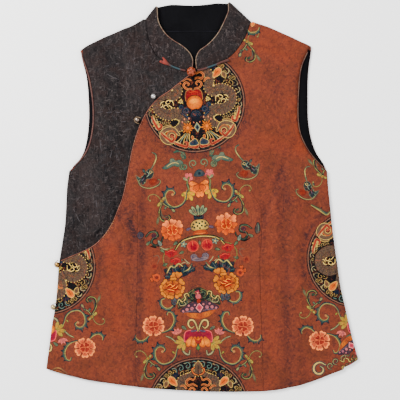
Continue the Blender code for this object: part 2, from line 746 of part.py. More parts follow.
frog("frog_leg_left", LEFT_FROG_ROWS)
frog("frog_leg_right", RIGHT_FROG_ROWS)
spot = np.array([[KNOT["x"], KNOT["y"]]])
knot_ground = lap_layer(np.vstack([spot + o for o in ((0, 0), (2, 0), (-2, 0), (0, -2), (0, 2))])).max() + FRONT
knot_z = knot_ground + KNOT["half_height"] - 0.05
ball("knot_button", (KNOT["x"], KNOT["y"], knot_z), KNOT["radius"], KNOT["half_height"], (0.5, 0.2, 0.08),
     KNOT["lobes"], 18, 10, 0.5)

# Ball buttons and the cord loops round them.
metals = ((0.75, 0.72, 0.68), (0.12, 0.08, 0.05), (0.6, 0.35, 0.1), (0.7, 0.6, 0.35))
for number, (values, metal) in enumerate(zip(BUTTON_ROWS, metals), 1):
    button = dict(zip(BUTTON_COLUMNS, values))
    centre = np.array([button["x"], button["y"]])
    turn = math.radians(button["loop_angle"])
    ahead = np.array([math.cos(turn), math.sin(turn)])
    across = np.array([-ahead[1], ahead[0]])
    ring = button["radius"] + 0.6
    if button["place"] == "yoke":
        ground = float(first_layer(centre[None])[0]) + FRONT
        reach = ring + 0.4
    else:
        ground = SEAM_REST + FRONT
        reach = ring + 1.5
    lift = 0.0 if button["place"] == "yoke" else 0.4
    ball("ball_button_%d" % number, (*centre, ground + GAP + lift + button["radius"]), button["radius"],
         button["radius"], metal)
    arc = [centre + across * ring + ahead * reach]
    for k in range(7):
        bend = math.radians(90 + 30 * k)
        arc.append(centre + ahead * ring * math.cos(bend) + across * ring * math.sin(bend))
    arc.append(centre - across * ring + ahead * reach)
    arc = curve(arc, 2)
    around = np.vstack([arc + o for o in ((0, 0), (0.9, 0), (-0.9, 0), (0, 0.9), (0, -0.9))])
    if button["place"] == "yoke":
        level = first_layer(around).reshape(5, -1).max(axis=0) + FRONT
    else:
        level = lap_layer(around).reshape(5, -1).max(axis=0) + FRONT
    z = level + GAP + LOOP_CORD
    tube("button_loop_%d" % number, np.column_stack([arc, z]), (LOOP_CORD, LOOP_CORD), 6, TRIM)
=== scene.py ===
import math
import random

import bmesh
import bpy
import numpy as np
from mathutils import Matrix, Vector, noise
from mathutils.bvhtree import BVHTree
from mathutils.geometry import delaunay_2d_cdt


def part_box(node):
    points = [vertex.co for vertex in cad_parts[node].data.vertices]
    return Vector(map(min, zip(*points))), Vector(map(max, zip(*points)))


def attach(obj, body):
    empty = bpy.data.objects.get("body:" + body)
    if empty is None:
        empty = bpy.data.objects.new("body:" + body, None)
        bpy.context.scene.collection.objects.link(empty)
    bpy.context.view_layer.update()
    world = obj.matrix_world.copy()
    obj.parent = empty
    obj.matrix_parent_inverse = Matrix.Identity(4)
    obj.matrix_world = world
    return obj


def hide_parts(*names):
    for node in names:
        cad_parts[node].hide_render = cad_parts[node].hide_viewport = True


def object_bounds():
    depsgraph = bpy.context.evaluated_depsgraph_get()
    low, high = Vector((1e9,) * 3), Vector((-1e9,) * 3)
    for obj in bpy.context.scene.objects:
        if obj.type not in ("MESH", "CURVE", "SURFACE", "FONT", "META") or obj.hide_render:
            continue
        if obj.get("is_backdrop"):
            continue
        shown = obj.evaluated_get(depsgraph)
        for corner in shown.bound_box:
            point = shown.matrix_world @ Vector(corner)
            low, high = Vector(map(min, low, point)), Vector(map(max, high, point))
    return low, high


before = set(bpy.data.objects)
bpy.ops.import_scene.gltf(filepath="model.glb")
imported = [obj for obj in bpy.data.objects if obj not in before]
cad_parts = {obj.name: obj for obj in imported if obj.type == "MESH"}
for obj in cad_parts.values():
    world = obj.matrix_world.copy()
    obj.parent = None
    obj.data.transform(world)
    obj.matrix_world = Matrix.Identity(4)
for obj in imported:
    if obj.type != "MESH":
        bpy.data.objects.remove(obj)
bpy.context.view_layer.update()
scene = bpy.context.scene
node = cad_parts


# The table under the garment: a pale, plain sheet of card, with soft studio light from the upper left
# and a broad fill, and the camera straight above the waistcoat as in the photograph.
UNIT = 0.0017
PHOTO_WIDTH = 400
SENSOR, LENS = 36, 85
CLOTH_LEVEL = 0.006
AIM = (-0.00400, -0.00535)
CARD_HALF, CARD_LEVEL = 6, -0.0006
card = bpy.data.meshes.new("table_card")
card_corners = ((-1, -1), (1, -1), (1, 1), (-1, 1))
card.from_pydata([(x * CARD_HALF, y * CARD_HALF, CARD_LEVEL) for x, y in card_corners], [], [(0, 1, 2, 3)])
table_card = bpy.data.objects.new("table_card", card)
scene.collection.objects.link(table_card)
card_paper = bpy.data.materials.new("pale_card")
card_paper.use_nodes = True
paper = card_paper.node_tree.nodes["Principled BSDF"]
paper.inputs["Base Color"].default_value = (0.93, 0.93, 0.93, 1)
paper.inputs["Roughness"].default_value = 0.95
paper.inputs["Specular IOR Level"].default_value = 0.1
card.materials.append(card_paper)
table_card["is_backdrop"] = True


def soft_light(name, place, size, watts, colour):
    """A square lamp that faces the garment."""
    lamp = bpy.data.lights.new(name, "AREA")
    lamp.energy = watts
    lamp.size = size
    lamp.color = colour
    lamp_object = bpy.data.objects.new(name, lamp)
    lamp_object.location = place
    aim = Vector((*AIM, 0)) - Vector(place)
    lamp_object.rotation_euler = aim.to_track_quat("-Z", "Y").to_euler()
    scene.collection.objects.link(lamp_object)


soft_light("key_light", (-1.6, 1.2, 1.5), 1.0, 170, (1.0, 0.99, 0.97))
soft_light("fill_light", (1.7, -0.6, 1.9), 2.2, 66, (0.98, 0.99, 1.0))
scene.world = scene.world or bpy.data.worlds.new("room")
scene.world.use_nodes = True
backdrop = scene.world.node_tree.nodes["Background"]
backdrop.inputs["Color"].default_value = (1, 1, 1, 1)
backdrop.inputs["Strength"].default_value = 1.25

eye = bpy.data.cameras.new("camera")
eye.lens = LENS
camera = bpy.data.objects.new("camera", eye)
camera.location = (*AIM, CLOTH_LEVEL + PHOTO_WIDTH * UNIT / SENSOR * LENS)
scene.collection.objects.link(camera)
scene.camera = camera


# Printed silk: one cloth for the front and the back, rust ground with a repeat of dragon roundels, scroll
# leaves, peonies and a vase column, printed in many colours. Old auspicious motifs, drawn here.
# Places are in print units of 1.7 mm, across and down; every motif is drawn about its own middle.
CREAM, PALE, SAGE, OLIVE = (216, 198, 154), (190, 178, 146), (142, 148, 112), (84, 92, 56)
GREEN, TEAL, NAVY, BLACK = (66, 92, 68), (62, 98, 98), (28, 42, 60), (18, 18, 20)
GOLD, TAN, UMBER = (134, 106, 78), (170, 132, 92), (108, 80, 58)
ORANGE, PEACH, FLAME = (222, 136, 70), (230, 170, 118), (206, 94, 52)
PINK, RED, CRIMSON = (220, 146, 132), (190, 62, 48), (170, 48, 58)
LILAC, SLATE, MIST = (146, 124, 136), (72, 96, 108), (168, 176, 156)

# A spot is a motif's place: across, down, size, turn in radians and mirror. Each filled shape of the
# print goes into ink as its outline, its first and last colour and the way that one runs to the other.
ON_CLOTH = (0, 0, 1, 0, 1)
ROUND = 6.28
CURVE_STEP = 1.32
FINE_STEP = 0.7
ink = []


def laid(points, spot):
    """Points of a motif, put in their place on the cloth: across, down, size, turn and mirror."""
    x, y, size, turn, flip = spot
    p = np.asarray(points, float) * (flip * size, size)
    c, s = math.cos(turn), math.sin(turn)
    return np.column_stack([x + p[:, 0] * c - p[:, 1] * s, y + p[:, 0] * s + p[:, 1] * c])


def halves(spot):
    """The spots of a motif's two mirrored halves."""
    return [(*spot[:4], spot[4] * flip) for flip in (1, -1)]


def around(x, y, lean, reach=1.0):
    """The point at a distance from another, at an angle in turns."""
    return x + reach * math.cos(lean * ROUND), y + reach * math.sin(lean * ROUND)


def directions(p):
    """The unit direction of a line at each of its points."""
    along = np.gradient(p, axis=0)
    return along / np.maximum(np.linalg.norm(along, axis=1), 1e-9)[:, None]


def leftward(along, amount=1.0):
    """Directions turned by a right angle, times an amount."""
    return np.column_stack([-along[:, 1], along[:, 0]]) * amount


def bent(points, step=CURVE_STEP, closed=False):
    """A smooth curve through the points, in small steps."""
    p = np.asarray(points, float)
    n = len(p)
    out = []
    for i in range(n if closed else n - 1):
        p1, p2 = p[i], p[(i + 1) % n]
        p0 = p[(i - 1) % n] if closed or i > 0 else 2 * p1 - p2
        p3 = p[(i + 2) % n] if closed or i + 2 < n else 2 * p2 - p1
        parts = max(1, math.ceil(np.linalg.norm(p2 - p1) / step))
        t = (np.arange(parts) / parts)[:, None]
        out.append(0.5 * (2 * p1 + (p2 - p0) * t + (2 * p0 - 5 * p1 + 4 * p2 - p3) * t**2
                          + (3 * p1 - p0 - 3 * p2 + p3) * t**3))
    out = np.vstack(out)
    return out if closed else np.vstack([out, p[-1:]])


def swollen(p, grow):
    """A closed outline moved outward by a small even amount."""
    along = np.roll(p, -1, 0) - np.roll(p, 1, 0)
    along /= np.maximum(np.linalg.norm(along, axis=1), 1e-9)[:, None]
    turn = np.sign(np.sum(p[:, 0] * np.roll(p[:, 1], -1) - np.roll(p[:, 0], -1) * p[:, 1])) or 1
    return p + np.column_stack([along[:, 1], -along[:, 0]]) * grow * turn


def patch(points, spot, colour, to=None, fade=None, rim=None, rim_wide=0.6, soft=True):
    """A filled shape. Its colour may run to another, outward from its middle or along a direction."""
    p = laid(points, spot)
    if soft:
        p = bent(p, closed=True)
    if rim:
        ink.append((swollen(p, rim_wide), rim, rim, None))
    ink.append((p, colour, to or colour, fade))


def strand(points, spot, wide, colour, to=None, thin=(0.45, 0.45), rim=None, rim_wide=0.6, soft=True):
    """A drawn line with a width, thinner towards its ends, and a darker or paler line round it."""
    p = laid(points, spot)
    if soft:
        p = bent(p)
    size = spot[2]
    along = directions(p)
    side = leftward(along)
    t = np.linspace(0, 1, len(p))
    taper = np.minimum(thin[0] + (1 - thin[0]) * np.clip(t / 0.3, 0, 1),
                       thin[1] + (1 - thin[1]) * np.clip((1 - t) / 0.3, 0, 1))
    for extra, first, last in ((rim_wide, rim, rim), (0.0, colour, to or colour)):
        if first is None:
            continue
        half = (taper * wide * size / 2 + extra * size)[:, None]
        out = np.vstack([p[:1] - along[:1] * half[0], p + side * half, p[-1:] + along[-1:] * half[-1],
                         (p - side * half)[::-1]])
        ink.append((out, first, last, None))


def coil(x, y, r0, r1, start, turns, parts=9):
    """Points of a spiral; angles are in turns, clockwise from the right."""
    t = np.linspace(0, 1, max(3, int(abs(turns) * parts)))
    angle = (start + turns * t) * 2 * math.pi
    r = r0 + (r1 - r0) * t
    return np.column_stack([x + r * np.cos(angle), y + r * np.sin(angle)])


def disc(x, y, rx, spot, colour, to=None, rim=None, rim_wide=0.6, ry=None, parts=10):
    """A round or oval spot of colour."""
    angle = np.arange(parts) / parts * 2 * math.pi
    patch(np.column_stack([x + rx * np.cos(angle), y + (ry or rx) * np.sin(angle)]), spot, colour, to,
          rim=rim, rim_wide=rim_wide)


def petal(x, y, angle, long, wide, spot, colour, to=None, rim=None, rim_wide=0.5, tip=0.0):
    """A petal or small leaf from a point outward; tip makes its end pointed."""
    a = angle * 2 * math.pi
    c, s = math.cos(a), math.sin(a)
    body = [(0, 0), (0.3, 0.36), (0.66, 0.5), (0.93 - 0.1 * tip, 0.28 * (1 - tip)), (1.0 + 0.08 * tip, 0),
            (0.93 - 0.1 * tip, -0.28 * (1 - tip)), (0.66, -0.5), (0.3, -0.36)]
    points = [(x + long * u * c - wide * v * s, y + long * u * s + wide * v * c) for u, v in body]
    patch(points, spot, colour, to, rim=rim, rim_wide=rim_wide)


def blossom(x, y, r, count, spot, colour, to, rim, heart=None, turn=0.0, slim=1.0):
    """A round flower of even petals about a heart."""
    for k in range(count):
        petal(x, y, turn + k / count, r, 2.9 * r / count * slim, spot, colour, to, rim, 0.35)
    if heart:
        disc(x, y, r * 0.26, spot, heart, parts=7)


def frill(x, y, angle, long, wide, spot, deep, pale, rim=None, rim_wide=0.6):
    """A ruffled petal with two lobes: deep at its root, pale at its edge, with a dark line round it."""
    a = angle * 2 * math.pi
    c, s = math.cos(a), math.sin(a)
    body = ((0, 0), (0.42, -0.36), (0.74, -0.53), (0.98, -0.36), (0.99, -0.14), (0.9, 0.02), (1.02, 0.2),
            (0.94, 0.42), (0.72, 0.53), (0.42, 0.34))
    points = [(x + long * u * c - wide * v * s, y + long * u * s + wide * v * c) for u, v in body]
    ends = laid([(x, y), (x + c, y + s)], spot)
    patch(points, spot, deep, pale, tuple(ends[1] - ends[0]), rim=rim, rim_wide=rim_wide)


def leaf_scroll(points, spot, teeth, tall, side, wide=1.5, inner=SAGE, rim=NAVY):
    """A curled leaf: a thin pale rib, a dark band along its outer side and pointed teeth beyond it."""
    p = bent(points, FINE_STEP)
    along = directions(p)
    out = leftward(along, side)
    span = np.linspace(0, 1, len(p))
    swell = np.clip((span - min(teeth) + 0.08) / 0.1, 0, 1) * np.clip((max(teeth) + 0.08 - span) / 0.1, 0, 1)
    for k, t in enumerate(teeth):
        i = int(t * (len(p) - 1))
        high = tall * (1.0, 0.76, 0.9)[k % 3]
        tip = p[i] + out[i] * (high + 1.3) + along[i] * high * 0.35
        left, right = p[i] - along[i] * high * 0.6, p[i] + along[i] * high * 0.6
        patch([left, (left + tip) / 2 + (out[i] + along[i]) * 0.25, tip, (right + tip) / 2 - along[i] * 0.1,
               right], spot,
              (52, 84, 84), NAVY, rim=(28, 34, 44), rim_wide=0.35)
        strand([p[i] + out[i] * 0.8, p[i] + out[i] * (high * 0.8) + along[i] * high * 0.2], spot, 0.5,
               (120, 142, 116))
    strand(p + out * 0.5, spot, wide + 0.9, rim, thin=(0.4, 0.5), soft=False)
    band = np.vstack([p, (p + out * (0.4 + 1.9 * swell)[:, None])[::-1]])
    patch(band, spot, rim, (48, 84, 84), soft=False)
    strand(p + out * (0.5 + 0.5 * swell)[:, None], spot, 0.7, inner, (120, 140, 110), thin=(0.3, 0.3),
           soft=False)
    strand(p - out * 0.25, spot, wide * 0.52, (206, 186, 134), (190, 176, 124), thin=(0.5, 0.7), soft=False)


def ring_scroll(spot):
    """The open ring of a scrolling stem, its end curled in, with a toothed leaf over its shoulder."""
    ring = [(12.5, -6.5), (11.2, -3.4), (9.8, 2.2), (5.4, 7.2), (-2.2, 9.3), (-8, 5.7), (-10.2, -0.8),
            (-9.0, -5.6), (-5.6, -8.0), (-1.8, -7.2), (-0.4, -4.4), (-3.0, -2.6)]
    leaf_scroll(ring, spot, (0.58, 0.66, 0.73, 0.8, 0.87), 4.2, -1, 1.5)
    disc(-2.8, -3.2, 1.0, spot, (214, 150, 110), rim=(196, 180, 130), rim_wide=0.3, parts=7)
    petal(9.6, -1.0, 0.62, 4.0, 1.6, spot, (120, 132, 84), (196, 178, 110), OLIVE, 0.3, tip=1)


def sprig(spot):
    """A scroll sprig: a thin curl, a small flower, a forked stem and a hooked leaf with a long tail."""
    leaf = (176, 166, 112)
    strand([(-11.6, -1.6), (-13.2, -3.6), (-11.6, -6.8), (-7.2, -7.6), (-3.2, -5.2), (-0.8, -1.2)], spot,
           0.7, (186, 160, 108), rim=OLIVE, rim_wide=0.35)
    disc(-11.4, -1.8, 0.9, spot, (190, 166, 116), rim=OLIVE, rim_wide=0.3, parts=6)
    petal(-1.2, 0.8, 0.36, 5.0, 2.4, spot, (150, 138, 84), (206, 186, 122), OLIVE, 0.4)
    petal(-0.8, 0.8, 0.26, 4.2, 2.0, spot, SAGE, (196, 182, 132), OLIVE, 0.35)
    petal(0.6, -0.4, 0.86, 4.2, 2.2, spot, (140, 134, 84), (200, 182, 124), OLIVE, 0.35)
    strand([(0, 0), (2.6, 3.8), (6.8, 6.8), (11.6, 9.6)], spot, 0.9, leaf, rim=NAVY, rim_wide=0.7)
    petal(9.0, 8.4, 0.14, 4.8, 2.4, spot, (190, 176, 124), SAGE, NAVY, 0.5)
    petal(6.8, 7.4, 0.96, 3.6, 1.9, spot, SAGE, GREEN, NAVY, 0.4, tip=1)
    petal(4.4, 5.6, 0.36, 4.2, 1.8, spot, (110, 126, 92), SAGE, NAVY, 0.4, tip=1)
    hook = [(0.8, 2), (-2.0, 7), (-3.4, 12.5), (-1.6, 18.6), (3.6, 20), (7.0, 17.2), (5.4, 14.6)]
    strand(hook, spot, 1.9, (44, 62, 56), thin=(0.5, 0.6), rim=(36, 44, 44), rim_wide=0.4)
    strand([(x - 0.5, y + 0.3) for x, y in hook], spot, 0.8, (196, 182, 128), leaf)
    strand([(-1.6, 8), (-1.4, 13), (0.6, 16.6), (3.6, 17.0)], spot, 0.7, (96, 122, 96), thin=(0.2, 0.4))
    petal(-3.4, 11.5, 0.30, 14.5, 2.2, spot, SAGE, (150, 104, 62), OLIVE, 0.25, tip=1)
    petal(1.4, 14.8, 0.1, 4.6, 2.2, spot, OLIVE, GREEN, NAVY, 0.35, tip=1)
    disc(0, 0, 1.6, spot, (204, 172, 96), (176, 158, 100), OLIVE, 0.4, ry=1.4, parts=8)
    disc(0.4, -0.3, 0.7, spot, (206, 120, 60), parts=6)


def peony_sprig(spot, r=10.5):
    """A pale peony between two toothed leaves."""
    leaf_scroll([(8, 7), (14.6, 4.4), (18.6, 0.2), (20.6, -6.2), (18.2, -12.6), (14.6, -13.6),
                 (13.4, -10.6)],
                spot, (0.3, 0.42, 0.54, 0.66, 0.78), 3.4, 1, 1.5, (134, 146, 88))
    leaf_scroll([(-3, 8), (-8, 13.4), (-13.6, 15.2), (-17.6, 12.4), (-17.8, 9.2)], spot,
                (0.34, 0.5, 0.66, 0.82), 3.2, -1, 1.4, (134, 146, 88))
    disc(0, 0.6, r * 0.7, spot, (188, 84, 54), (196, 92, 58), (152, 62, 42), 0.3, parts=11)
    for x, y, lean, size in ((-6.2, -3.6, 0.58, 0.66), (-0.6, -6.6, 0.74, 0.62), (6.0, -4.2, 0.9, 0.66),
                             (7.4, 2.2, 0.04, 0.6), (-7.4, 2.6, 0.46, 0.62), (-3.8, 6.4, 0.34, 0.6),
                             (3.4, 6.8, 0.18, 0.58)):
        x, y, long = x * r / 10.5, y * r / 10.5, r * size
        frill(*around(x, y, lean, -0.5 * long), lean, long, long * 1.08, spot, (220, 138, 100),
              (236, 192, 154), (152, 66, 46), 0.4)
        frill(*around(x, y, lean, -0.45 * long), lean, long * 0.7, long * 0.66, spot, (204, 96, 62),
              (226, 152, 112))
    for lean in (0.06, 0.34, 0.62, 0.86):
        frill(0, 0.8, lean, r * 0.5, r * 0.5, spot, (176, 58, 36), (204, 92, 56), (232, 172, 134), 0.4)
    strand([(-3.5, 3.6), (0, 1.6), (3.6, 3.2)], spot, 0.6, (168, 44, 28))
    strand([(-5.0, -3.4), (-1.4, -5.0), (1.8, -3.6)], spot, 0.6, (236, 178, 138))


def curls(x, y, size, spot, colour=CREAM, ground=BLACK):
    """Interlocked small cloud hooks, pale on a dark patch."""
    if ground:
        disc(x, y, size * 1.25, spot, ground, ry=size * 0.95, parts=8)
    for mirror in (-1, 1):
        strand([(x + mirror * 0.1 * size, y + 0.5 * size * mirror),
                (x + 0.75 * size * mirror, y + 0.65 * size * mirror), (x + 1.05 * size * mirror, y),
                (x + 0.6 * size * mirror, y - 0.5 * size * mirror),
                (x + 0.15 * size * mirror, y - 0.1 * size * mirror),
                (x + 0.45 * size * mirror, y + 0.15 * size * mirror)],
               spot, 0.72, colour, (186, 160, 112), thin=(0.7, 0.6))


def dragon(spot):
    """One of the two dragons of the roundel: a thick scaled body in an open S, cream dots on its edge."""
    body = bent([(2.2, -37), (8.6, -31.2), (15.6, -28.4), (17.6, -22), (15.6, -14.2), (19.4, -8.9),
                 (28.6, -10.0), (36.0, -4.6), (35.4, 4.2), (27.8, 9.6), (19.0, 9.6), (12.8, 15.2),
                 (15.2, 22.4), (24.8, 26.6)], 1.0)
    t = np.linspace(0, 1, len(body))
    wide = np.interp(t, [0, 0.08, 0.2, 0.45, 0.62, 0.8, 0.93, 1], [5, 9, 9.5, 11.5, 12, 11, 8, 4])
    along = directions(body)
    side = leftward(along)
    hull = np.vstack([body + side * wide[:, None] / 2, (body - side * wide[:, None] / 2)[::-1]])
    body_shape = laid(hull, spot)
    ink.append((swollen(body_shape, 1.3), BLACK, BLACK, None))
    ink.append((body_shape, GOLD, (134, 106, 80), None))
    for lane in (-0.36, -0.12, 0.12, 0.36):
        for k in range(3, len(body) - 3, 3):
            middle = body[k] + side[k] * wide[k] * lane + along[k] * (1.4 if int(lane * 100) % 24 else 0.2)
            a, b = along[k] * 0.8, side[k] * wide[k] * 0.1
            strand([middle - b - a, middle + a * 0.6, middle + b - a], spot, 0.75, (70, 54, 44),
                   thin=(0.6, 0.6), soft=False)
            if k % 2:
                strand([middle - b * 0.5, middle + b * 0.5 - a * 0.2], spot, 0.45, (196, 170, 122),
                       thin=(0.6, 0.6), soft=False)
    for edge in (-0.5, 0.5):
        for k in range(2, len(body) - 2, 2):
            x, y = body[k] + side[k] * wide[k] * edge
            disc(x, y, 0.6, spot, (216, 198, 154), parts=5)
    strand(body[6:-6] + side[6:-6] * wide[6:-6, None] * 0.05, spot, 0.6, (128, 78, 50), thin=(0.3, 0.3),
           soft=False)


def claw(x, y, size, spot):
    """A spread claw of five pale points."""
    for k in range(6):
        petal(x, y, 0.04 + k / 6, size * (1.0, 0.75)[k % 2], size * 0.42, spot, (196, 180, 96), CREAM, BLACK,
              0.2, tip=1)
    disc(x, y, size * 0.24, spot, TAN, parts=6)


def roundel(spot):
    """The dragon roundel: two dragons about a pearl over waves and rocks, in a border of small hooks."""
    disc(0, 0, 51.2, spot, (70, 46, 40), parts=44)
    disc(0, 0, 49.8, spot, (176, 136, 108), parts=44)
    disc(0, 0, 49.0, spot, (36, 30, 30), parts=44)
    disc(0, 0, 47.9, spot, (24, 23, 26), (20, 22, 26), parts=44)
    for k in range(60):
        a = k / 60 * 2 * math.pi
        c, s = math.cos(a), math.sin(a)
        strand([(47.2 * c, 47.2 * s), (46.4 * math.cos(a + 0.05), 46.4 * math.sin(a + 0.05))], spot, 0.7,
               ((196, 182, 148), (156, 132, 98), (126, 136, 112))[k % 3], thin=(0.6, 0.6))
    for k in range(38):
        a = k / 38 * 2 * math.pi
        if abs(math.sin(a) - 1) < 0.22:
            continue
        near_top = math.sin(a) < -0.78
        x, y = 43.8 * math.cos(a), 43.8 * math.sin(a)
        c, s = math.cos(a), math.sin(a)
        hook = [(2.6, -2.4), (3.4, 0.4), (1.2, 2.6), (-1.8, 1.8), (-2.2, -0.8), (-0.2, -1.6), (0.8, 0.2)]
        pts = [(x + u * c - v * s, y + u * s + v * c) for u, v in hook]
        strand(pts, spot, 0.75, (140, 160, 144) if near_top else ((194, 182, 150) if k % 3
            else (150, 132, 100)), thin=(0.7, 0.6))
        if near_top:
            inner = [(x - 7.0 * c + u * c + v * s, y - 7.0 * s + u * s - v * c) for u, v in hook]
            strand(inner, spot, 0.7, SAGE, thin=(0.7, 0.6))
        elif k % 2:
            disc(x - 4.4 * c, y - 4.4 * s, 1.1, spot, NAVY, parts=6)
        else:
            strand(coil(x - 5.0 * c, y - 5.0 * s, 1.8, 0.5, 0.2, 1.0), spot, 0.6, (160, 148, 112),
                   thin=(0.7, 0.6))
    for half in halves(spot):
        for x, y, size in ((35.6, -15.4, 4.6), (40.0, -20.0, 3.0), (31.6, -26.8, 3.2), (26.0, -35.4, 3.6),
                           (13.4, -34.8, 4.4), (30.4, -33.0, 2.8), (43.0, 2.4, 2.4), (41.0, 10.0, 2.8),
                           (35.0, 17.0, 3.4), (29.2, 17.2, 2.8)):
            curls(x, y, size, half, CREAM if y < 12 else (204, 190, 158))
        disc(22, -32.6, 3.6, half, NAVY, ry=3.0, parts=7)
        dragon(half)
        disc(27.2, -0.8, 6.6, half, BLACK, ry=5.0, parts=10)
        for curl in ([(21.2, 1.4), (21.8, -2.8), (25.4, -4.6), (28.6, -2.8), (27.2, -0.6), (25.0, -1.4)],
                     [(26.6, 2.6), (27.6, 0.4), (30.4, 0.2), (31.2, 2.4), (29.4, 3.6)],
                     [(30.0, -4.0), (33.0, -3.0), (34.0, -0.6)], [(22.6, 3.6), (24.6, 1.6), (26.0, 0.4)],
                     [(31.8, -1.4), (32.4, 1.0), (34.2, 1.8)]):
            strand(curl, half, 0.8, (222, 206, 170), thin=(0.5, 0.6))
        disc(24.2, -3.2, 0.8, half, CREAM, parts=6)
        petal(21.4, -22.6, 0.875, 11.4, 6.4, half, ORANGE, PEACH, CREAM, 0.5)
        strand([(22.4, -23.8), (28.0, -29.4)], half, 0.6, (176, 84, 40))
        petal(33.4, -20.4, 0.70, 7.0, 4.2, half, UMBER, TAN, CREAM, 0.4)
        claw(39.9, 18.6, 4.8, half)
        claw(13.6, -1.8, 3.6, half)
        petal(26.0, 20.6, 0.07, 11.5, 5.4, half, (140, 112, 66), TAN, CREAM, 0.35, tip=0.6)
        strand([(19.0, 31.0), (24.6, 24.4), (33.0, 25.2), (36.2, 31.0), (31.6, 37.4), (24.6, 37.6)], half,
               3.6, TAN, GOLD, rim=CREAM, rim_wide=0.5)
        disc(26.8, 31.2, 4.9, half, (122, 70, 44), TAN, ORANGE, 0.6)
        disc(26.2, 31.4, 2.6, half, (112, 26, 26), (150, 60, 40), CREAM, 0.5, parts=8)
        for k, (x, y) in enumerate(((24.6, 39.6), (20.6, 41.4), (16.4, 42.4), (12.2, 42.4), (8.4, 40.4))):
            strand([(8.0 + 1.1 * (4 - k), 30.2), (0.5 * (9.6 + x) + 1.6 - 0.3 * k, 35.4), (x, y)], half,
                   0.75, (CREAM, MIST, (206, 182, 130), PALE, CREAM)[k], thin=(0.6, 0.9), rim=BLACK,
                   rim_wide=0.6)
        for k in range(11):
            petal(9.6, 25.0, 0.02 + k / 11, 6.8 if k % 2 else 5.2, 1.8, half, (200, 84, 42), (226, 172, 104),
                  (52, 38, 34), 0.4, tip=0.6)
        disc(9.6, 25.0, 1.9, half, (236, 180, 84), (222, 150, 66), parts=8)
        strand(coil(9.4, 8.2, 3.4, 0.8, 0.1, -1.3), half, 1.0, SLATE, rim=NAVY, rim_wide=0.9)
        strand(coil(14.2, 4.0, 2.2, 0.6, 0.4, 1.2), half, 0.8, SLATE, rim=NAVY, rim_wide=0.8)
        strand([(2.0, 15.2), (6.6, 15.8), (10.4, 12.6), (14.2, 10.0)], half, 1.0, SLATE, rim=NAVY,
               rim_wide=0.9)
        for x, y in ((4.2, 18.4), (7.4, 17.2), (12.0, 17.4), (3.0, 21.2), (14.4, 20.0)):
            petal(x, y, 0.75, 2.6, 1.4, half, CREAM, PINK, BLACK, 0.2)
        for first, last, r in ((0.035, 0.085, 45.2), (0.1, 0.15, 45.6), (0.158, 0.205, 45.4),
                               (0.212, 0.243, 45.0)):
            sweep = [around(0, 0, v, r) for v in np.linspace(first, last, 5)]
            hook = [(x * 0.91, y * 0.91) for x, y in (sweep[4], sweep[3])]
            strand([*sweep, *hook], half, 1.9, (208, 100, 62), (190, 76, 46), thin=(0.3, 0.5),
                   rim=(214, 164, 128), rim_wide=0.4)
            strand([(x * 0.965, y * 0.965) for x, y in sweep[:3]], half, 0.8, (214, 190, 150))
        patch([(1.4, 42.6), (1.6, 38.6), (4.2, 36.4), (6.8, 38.0), (9.4, 40.0), (8.4, 43.0)], half, NAVY,
              SLATE, rim=CREAM, rim_wide=0.4)
        petal(5.4, 37.6, 0.78, 4.4, 2.2, half, ORANGE, FLAME, CREAM, 0.25)
        disc(5.0, -22.0, 8.0, half, BLACK, ry=9.6, parts=12)
        for dark, wide in (((222, 178, 132), 1.9), ((188, 76, 46), 0.95)):
            strand([(1.4, -13.6), (6.4, -14.0), (9.0, -17.4), (6.4, -20.4), (3.4, -18.6), (4.6, -17.0)],
                   half, wide, dark, thin=(0.6, 0.6))
            strand([(1.0, -21.8), (5.4, -24.0), (9.8, -22.6), (12.0, -26.4), (8.6, -29.4), (4.6, -28.2),
                    (3.0, -31.0)], half,
                   wide, dark, thin=(0.6, 0.6))
            strand([(11.6, -19.4), (14.4, -22.4), (18.0, -22.0)], half, wide, dark, thin=(0.6, 0.4))
    patch([(-7.2, -10.6), (-3.4, -12.6), (0, -11.6), (3.4, -12.6), (7.2, -10.6), (8.2, -4.6), (6.4, -1),
           (-6.4, -1), (-8.2, -4.6)],
          spot, (206, 66, 40), (176, 40, 30), rim=(196, 150, 96), rim_wide=0.7)
    strand([(-4.6, -9.4), (0, -10.4), (4.6, -9.4)], spot, 0.8, (224, 120, 70))
    disc(0, 0.6, 8.3, spot, (60, 40, 32), parts=16, ry=7.7)
    disc(0, 0.6, 7.6, spot, (232, 176, 92), (220, 138, 62), (196, 112, 58), 0.3, ry=6.8, parts=16)
    disc(-0.4, -1.2, 4.6, spot, (236, 196, 116), (232, 178, 94), ry=2.4)
    disc(0, 13.6, 6.8, spot, (26, 40, 54), (18, 24, 32), parts=14)
    for r in (5.4, 3.6, 1.8):
        strand(coil(0, 14.4, r, r, 0.5, 0.5), spot, 0.6, SLATE)
    patch([(0, 20.4), (2.9, 25.4), (0, 30.4), (-2.9, 25.4)], spot, SLATE, MIST, rim=CREAM, rim_wide=0.4,
          soft=False)
    patch([(0, 22.4), (1.5, 25.4), (0, 28.4), (-1.5, 25.4)], spot, NAVY, soft=False)
    strand([(0, -44), (0, -36)], spot, 8.0, (120, 86, 62), (140, 108, 76), thin=(0.8, 1), rim=CREAM,
           rim_wide=0.5)
    strand([(0, -43), (0, -33)], spot, 1.2, (84, 54, 46))
    for half in halves(spot):
        strand([(0.8, -33.2), (4.4, -34.6), (6.2, -38.6), (3.4, -41.0)], half, 1.3, (206, 110, 66),
               (222, 160, 110), rim=BLACK, rim_wide=0.7)


